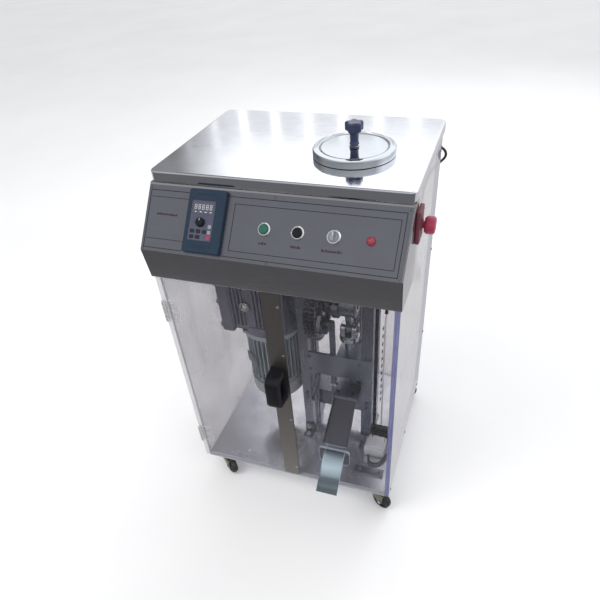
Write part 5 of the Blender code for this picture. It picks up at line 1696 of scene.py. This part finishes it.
def build_chute():
    """A folded sheet tray that flares towards the pane, and the tongue that carries on through it."""
    box = Box("discharge_chute")
    place = chute_frame()
    end = (place.inverted() @ Vector((box.mid.x, box.low.y, box.low.z))).y + 0.001
    tray, sheet = -0.108, 0.0012
    shape = Shape()
    floor = [(0.0845, 0), (0.1345, 0), (0.1375, tray), (0.08, tray)]
    shape.prism(floor, -sheet, 0, place, 0.0003)
    for xa, xb in ((0.084, 0.0795), (0.1338, 0.1368)):
        wall = [(xa, 0), (xa + sheet, 0), (xb + sheet, tray), (xb, tray)]
        shape.prism(wall, -sheet, 0.0118, place, 0.0003)
    # Near-black tray steel: painted shade under the console.
    piece("chute_tray", shape, TRAY_PAINTED_SHADE, replaces="discharge_chute")
    rim = Shape()
    rim.box((0.0795, tray - 0.0002, -0.0022), (0.138, tray + 0.0014, 0.0018), 0.0004, place)
    for xa in (0.0795, 0.1366):
        rim.box((xa, tray - 0.0002, -0.0022), (xa + 0.0014, tray + 0.0014, 0.0124), 0.0004, place)
    piece("chute_rim", rim, BRIGHT)
    tongue = Shape()
    left, right, lip = 0.086, 0.134, 0.0042
    section = fillet([(left, lip), (left, -0.0016), (right, -0.0016), (right, lip)], 0.0012, 4, closed=False)
    tongue.loft([[place @ Vector((px, y, pz)) for px, pz in section] for y in (-0.09, end)], closed=False)
    # Bright bluish colour on the tongue: painted sky reflection.
    piece("chute_tongue", tongue, CHUTE_PAINTED_REFLECTION, solid=0.001, smooth=40)
    piece(
        "chute_hem",
        Shape().rod(
            place @ Vector((left + 0.001, end + 0.0008, -0.0022)),
            place @ Vector((right - 0.001, end + 0.0008, -0.0022)), 0.0011, edge=0.0003, count=16,
        ),
        BRIGHT,
    )


# ---------------------------------------------------------------- castors

def build_castors():
    """A castor under each corner of the base."""
    for corner in ("front_left", "front_right", "rear_left", "rear_right"):
        build_castor(corner)


def build_castor(corner):
    """Drawn about its swivel with the wheel trailing along +X, then turned to its heading."""
    swivel, axle = JOINTS[f"castor_swivel_{corner}"], JOINTS[f"castor_wheel_turn_{corner}"]
    centre, hub = Vector(swivel["pos_m"]), Vector(axle["pos_m"])
    arm = hub - centre
    place = move(centre.x, centre.y) @ Matrix.Rotation(math.atan2(arm.y, arm.x), 4, "Z")
    trail, hub_z = Vector((arm.x, arm.y)).length, hub.z
    top = BASE.low.z
    pad = Shape()
    square = rect(-0.025, -0.0225, 0.025, 0.0225, 0.004, 4)
    at = move(centre.x, centre.y)
    pad.flat([square], top - 0.0028, top - 0.0003, at, 0.0004)
    for dx in (-0.019, 0.019):
        for dy in (-0.0165, 0.0165):
            pad.screw((centre.x + dx, centre.y + dy, top - 0.0028), -Z, 0.003, 0.002, washer=False)
    piece(f"castor_pad_{corner}", pad, ZINC)
    plate = Shape()
    profile = [
        (0, top - 0.0031), (0.019, top - 0.0031), (0.0196, top - 0.0044), (0.018, top - 0.0062),
        (0.0168, top - 0.0068), (0.015, top - 0.0092), (0.015, top - 0.0118), (0, top - 0.0118),
    ]
    plate.lathe(profile, place, 48)
    plate.lathe(
        [
            (0, top - 0.0136), (0.004, top - 0.0136), (0.005, top - 0.015), (0.004, top - 0.0156),
            (0, top - 0.0156),
        ],
        place, 24,
    )
    piece(f"castor_head_{corner}", plate, ZINC, f"fork_{corner}", f"castor_fork_{corner}")
    fork = Shape()
    inner, outer = 0.009, 0.0107
    crown = fillet(
        [(-0.014, -outer), (trail + 0.0095, -outer), (trail + 0.0095, outer), (-0.014, outer)],
        [0.008, 0.003, 0.003, 0.008], 5,
    )
    fork.prism(crown, top - 0.0138, top - 0.0114, place, 0.0004)
    outline = [
        (-0.013, top - 0.012), (trail + 0.009, top - 0.012), (trail + 0.0074, hub_z + 0.003),
        (trail + 0.0032, hub_z - 0.0066), (trail - 0.0038, hub_z - 0.0066), (trail - 0.011, hub_z + 0.004),
        (-0.012, top - 0.018),
    ]
    cheek = fillet(outline, [0.003, 0.003, 0.004, 0.003, 0.003, 0.006, 0.003], 5)
    for side in (-1, 1):
        low, high = sorted((side * inner, side * outer))
        fork.flat([cheek], low, high, place @ frame_at((0, 0, 0), X, Z) @ Matrix.Scale(-1, 4, Z), 0.0003)
    piece(f"castor_cheeks_{corner}", fork, ZINC, f"fork_{corner}")
    pin = Shape()
    pin.rod(
        place @ Vector((trail, -outer - 0.001, hub_z)), place @ Vector((trail, outer + 0.001, hub_z)),
        0.003, edge=0.0003, count=20,
    )
    out = place.to_3x3() @ Y
    pin.screw(place @ Vector((trail, outer, hub_z)), out, 0.0046, 0.0022, washer=False)
    pin.screw(place @ Vector((trail, -outer, hub_z)), -out, 0.0046, 0.0022, washer=False)
    piece(f"castor_axle_{corner}", pin, BRIGHT, f"fork_{corner}")
    at = facing(hub, axle["axis"])
    radius = hub_z
    tyre = Shape()
    half = 0.008
    profile = [
        (radius - 0.006, half - 0.0006), (radius - 0.003, half - 0.0004), (radius - 0.0012, half - 0.0016),
        (radius - 0.0003, half - 0.0036), (radius, 0.0),
    ]
    profile += [(r, -h) for r, h in reversed(profile[:-1])]
    profile += [(radius - 0.0066, -half + 0.002), (radius - 0.0066, half - 0.002), profile[0]]
    tyre.lathe(profile, at, 72)
    piece(
        f"castor_tyre_{corner}", tyre, TYRE, f"wheel_{corner}", f"castor_wheel_{corner}",
        smooth=50,
    )
    core = Shape()
    profile = [
        (0.0033, half), (0.007, half), (0.0076, half - 0.002), (radius - 0.01, half - 0.0036),
        (radius - 0.0064, half - 0.0012), (radius - 0.0064, 0.0012 - half), (radius - 0.01, 0.0036 - half),
        (0.0076, 0.002 - half), (0.007, -half), (0.0033, -half), (0.0033, half),
    ]
    core.lathe(profile, at, 48)
    piece(f"castor_core_{corner}", core, BLACK, f"wheel_{corner}", smooth=40)


# ---------------------------------------------------------------- small parts seen through the panes

def build_inside():
    """Terminals, cables and guards that sit on the base and beside the press."""
    top = BASE.high.z
    piece(
        "left_cover_strip", Shape().box(m(0.0195, -0.0655, top + 0.001), m(0.027, -0.06, 0.553), 0.0008),
        BRUSHED,
    )
    piece(
        "guard_stay", Shape().sweep([m(0.036, -0.0672, 0.29), m(0.0165, -0.0672, 0.214)], 0.0045, 16),
        GROUND,
    )
    piece("cable_duct", Shape().box(m(0.174, 0.004, top + 0.001), m(0.176, 0.016, 0.43), 0.0008), WHITE)
    tabs = Shape()
    for number in range(11):
        z = 0.165 + number * 0.023
        tabs.box(m(0.1705, 0.000, z), m(0.1725, 0.008, z + 0.006), 0.0005)
    piece("duct_terminals", tabs, RED_INK)
    block = Shape()
    block.box(m(0.155, -0.105, top + 0.001), m(0.205, -0.06, top + 0.03), 0.003, steps=3)
    block.box(m(0.16, -0.101, top + 0.029), m(0.2, -0.064, top + 0.036), 0.002)
    piece("junction_box", block, WHITE)
    dark = Shape()
    dark.box(m(0.152, -0.046, top + 0.001), m(0.214, -0.03, top + 0.04), 0.002)
    for number in range(6):
        x = 0.158 + number * 0.01
        dark.socket(m(x, -0.046, top + 0.026), -Y, 0.0026)
    piece("terminal_rail", dark, BLACK)
    wires = Shape()
    for number in range(5):
        x = 0.158 + number * 0.01
        reach = 0.014 + 0.004 * (number % 3)
        points = [
            m(x, -0.048, top + 0.03), m(x + 0.001, -0.048 - reach, top + 0.034 + 0.004 * (number % 2)),
            m(x + 0.003, -0.062 - reach, top + 0.022), m(x + 0.002, -0.058, top + 0.012),
        ]
        wires.sweep(smooth_path(points, 5), 0.0014, 8)
    points = [
        m(0.208, -0.05, top + 0.02), m(0.214, -0.08, top + 0.01), m(0.2, -0.122, top + 0.006),
        m(0.176, -0.128, top + 0.006), m(0.168, -0.11, top + 0.01),
    ]
    wires.sweep(smooth_path(points, 8), 0.003, 12)
    piece("terminal_wires", wires, CORD)
    bar = Shape()
    bar.box(m(0.145, -0.162, top + 0.0005), m(0.215, -0.142, top + 0.0065), 0.001)
    bar.screw(m(0.156, -0.152, top + 0.0065), Z, 0.0036, hexagon=False)
    bar.screw(m(0.204, -0.152, top + 0.0065), Z, 0.0036, hexagon=False)
    piece("earth_bar", bar, BRUSHED)
    run = Shape()
    points = [
        m(0.19, 0.19, 0.735), m(0.175, 0.18, 0.7), m(0.172, 0.15, 0.6), m(0.172, 0.06, 0.48),
        m(0.172, 0.03, 0.42),
    ]
    run.sweep(smooth_path(points, 8), 0.004, 12)
    points = [
        m(-0.12, 0.05, 0.33), m(-0.11, 0.11, 0.3), m(-0.06, 0.15, 0.33), m(-0.02, 0.16, 0.45),
        m(-0.01, 0.165, 0.6), m(-0.02, 0.1, 0.68), m(-0.06, -0.08, 0.69),
    ]
    run.sweep(smooth_path(points, 8), 0.004, 12)
    piece("cable_runs", run, CORD)


# ---------------------------------------------------------------- stage

def build_stage():
    """A pale floor, shown to the steel as a darker painted reflection in front, a soft studio and the camera.
    """
    t = Tree("studio_floor")
    cloud = t.noise(1.5, 3)
    colours = t.mix(t.band(cloud, 0.3, 0.7), (0.86, 0.86, 0.865), (0.9, 0.9, 0.9))
    floor_shader = t.principled({"Base Color": colours, "Roughness": 0.6, "Specular IOR Level": 0.2})
    # Glossy rays see the floor as a glowing grey that darkens in front: a painted reflection for the steel to
    # mirror.
    ahead = t.band(t.height("Y"), -0.55, -0.15)
    mirrored = t.mix(ahead, (0.145, 0.145, 0.155), (0.62, 0.62, 0.64))
    painted_reflection_shader = t.add("Emission", {"Color": mirrored, "Strength": 1.0}).outputs[0]
    glossy = t.add("LightPath").outputs["Is Glossy Ray"]
    t.done(t.add("MixShader", {0: glossy, 1: floor_shader, 2: painted_reflection_shader}).outputs[0])
    shape = bmesh.new()
    bmesh.ops.create_grid(shape, x_segments=4, y_segments=4, size=FLOOR_HALF)
    mesh = bpy.data.meshes.new("floor")
    shape.to_mesh(mesh)
    shape.free()
    mesh.materials.append(t.material)
    floor = bpy.data.objects.new("floor", mesh)
    bpy.context.scene.collection.objects.link(floor)
    build_world()
    build_lights()
    build_camera()


def build_world():
    """An even sky for light, with a bright side and grey window bands for the polished steel to mirror."""
    t = Tree("studio", world=True)
    bpy.context.scene.world = t.material
    part = t.add("SeparateXYZ", {0: t.place}).outputs
    bearing = t.math("DIVIDE", part["X"], t.math("MAXIMUM", part["Y"], 0.05))
    mullions = t.math("SINE", t.math("ADD", t.math("MULTIPLY", bearing, MULLIONS), MULLION_START))
    white = t.math("MAXIMUM", t.band(mullions, 0.62, 0.8), t.band(part["Z"], 0.33, 0.342))
    wall_end = t.band(bearing, -0.66, -0.52, 0.2, 1.0)
    behind = t.math("MULTIPLY", t.band(white, 0.0, 1.0, 0.74, 1.25), wall_end)
    side = t.band(part["X"], -0.6, 0.7, 0.9, 1.25)
    front = t.math("MULTIPLY", t.band(part["Z"], 0.0, 0.8, 0.3, 0.62), side)
    turn = t.band(part["Y"], -0.25, 0.15)
    front = t.math("MULTIPLY", front, t.math("SUBTRACT", 1.0, turn))
    level = t.math("ADD", t.math("MULTIPLY", behind, turn), front)
    level = t.math("MULTIPLY", level, t.band(part["Z"], 0.6, 0.95, 1.0, 0.55))
    red, blue = t.math("MULTIPLY", level, 0.985), t.math("MULTIPLY", level, 1.03)
    tone = t.add("CombineColor", {0: red, 1: level, 2: blue}).outputs[0]
    mirrored = t.add("Background", {"Color": tone, "Strength": 1.2}).outputs[0]
    plain = t.add("Background", {"Color": (0.94, 0.945, 0.96, 1), "Strength": 0.95}).outputs[0]
    glossy = t.add("LightPath").outputs["Is Glossy Ray"]
    t.done(t.add("MixShader", {0: glossy, 1: plain, 2: mirrored}).outputs[0])


def area(name, place, size, power, colour):
    """A disc light aimed at the machine."""
    data = bpy.data.lights.new(name, "AREA")
    data.shape, data.size, data.energy, data.color = "DISK", size, power, colour
    item = bpy.data.objects.new(name, data)
    item.location = place
    item.rotation_euler = (Vector(LIGHT_TARGET) - Vector(place)).to_track_quat("-Z", "Y").to_euler()
    item.visible_glossy = False
    bpy.context.scene.collection.objects.link(item)


def build_lights():
    """Three large soft discs that light the machine without showing in its steel."""
    area("key", (-1.6, -1.4, 2.6), 1.6, 26, (1.0, 0.98, 0.96))
    area("window", (0.4, 2.6, 2.4), 2.2, 34, (0.95, 0.97, 1.0))
    area("fill", (2.2, -1.2, 1.4), 1.8, 10, (1.0, 0.99, 0.98))


def build_camera():
    """The camera, at the photograph's viewing angle."""
    data = bpy.data.cameras.new("camera")
    data.sensor_width, data.lens = CAMERA_SENSOR, CAMERA_LENS
    data.shift_x, data.shift_y = CAMERA_SHIFT
    data.clip_start, data.clip_end = 0.05, 60
    item = bpy.data.objects.new("camera", data)
    right, up = Vector(CAMERA_RIGHT), Vector(CAMERA_UP)
    made = Matrix((right, up, right.cross(up))).transposed().to_4x4()
    made.translation = m(*CAMERA_PLACE) + Z * BASE.high.z
    item.matrix_world = made
    bpy.context.scene.collection.objects.link(item)
    bpy.context.scene.camera = item
    bpy.context.scene.view_settings.view_transform = "Standard"


build_cover()
build_console()
build_panel()
build_panes()
build_base()
build_door()
build_controls()
build_inverter()
build_estop()
build_hopper()
build_lid()
build_cord()
build_gearbox()
build_motor()
build_gears()
build_crank()
build_frame()
build_rod()
build_table()
build_lower_tools()
build_chute()
build_castors()
build_inside()
build_stage()
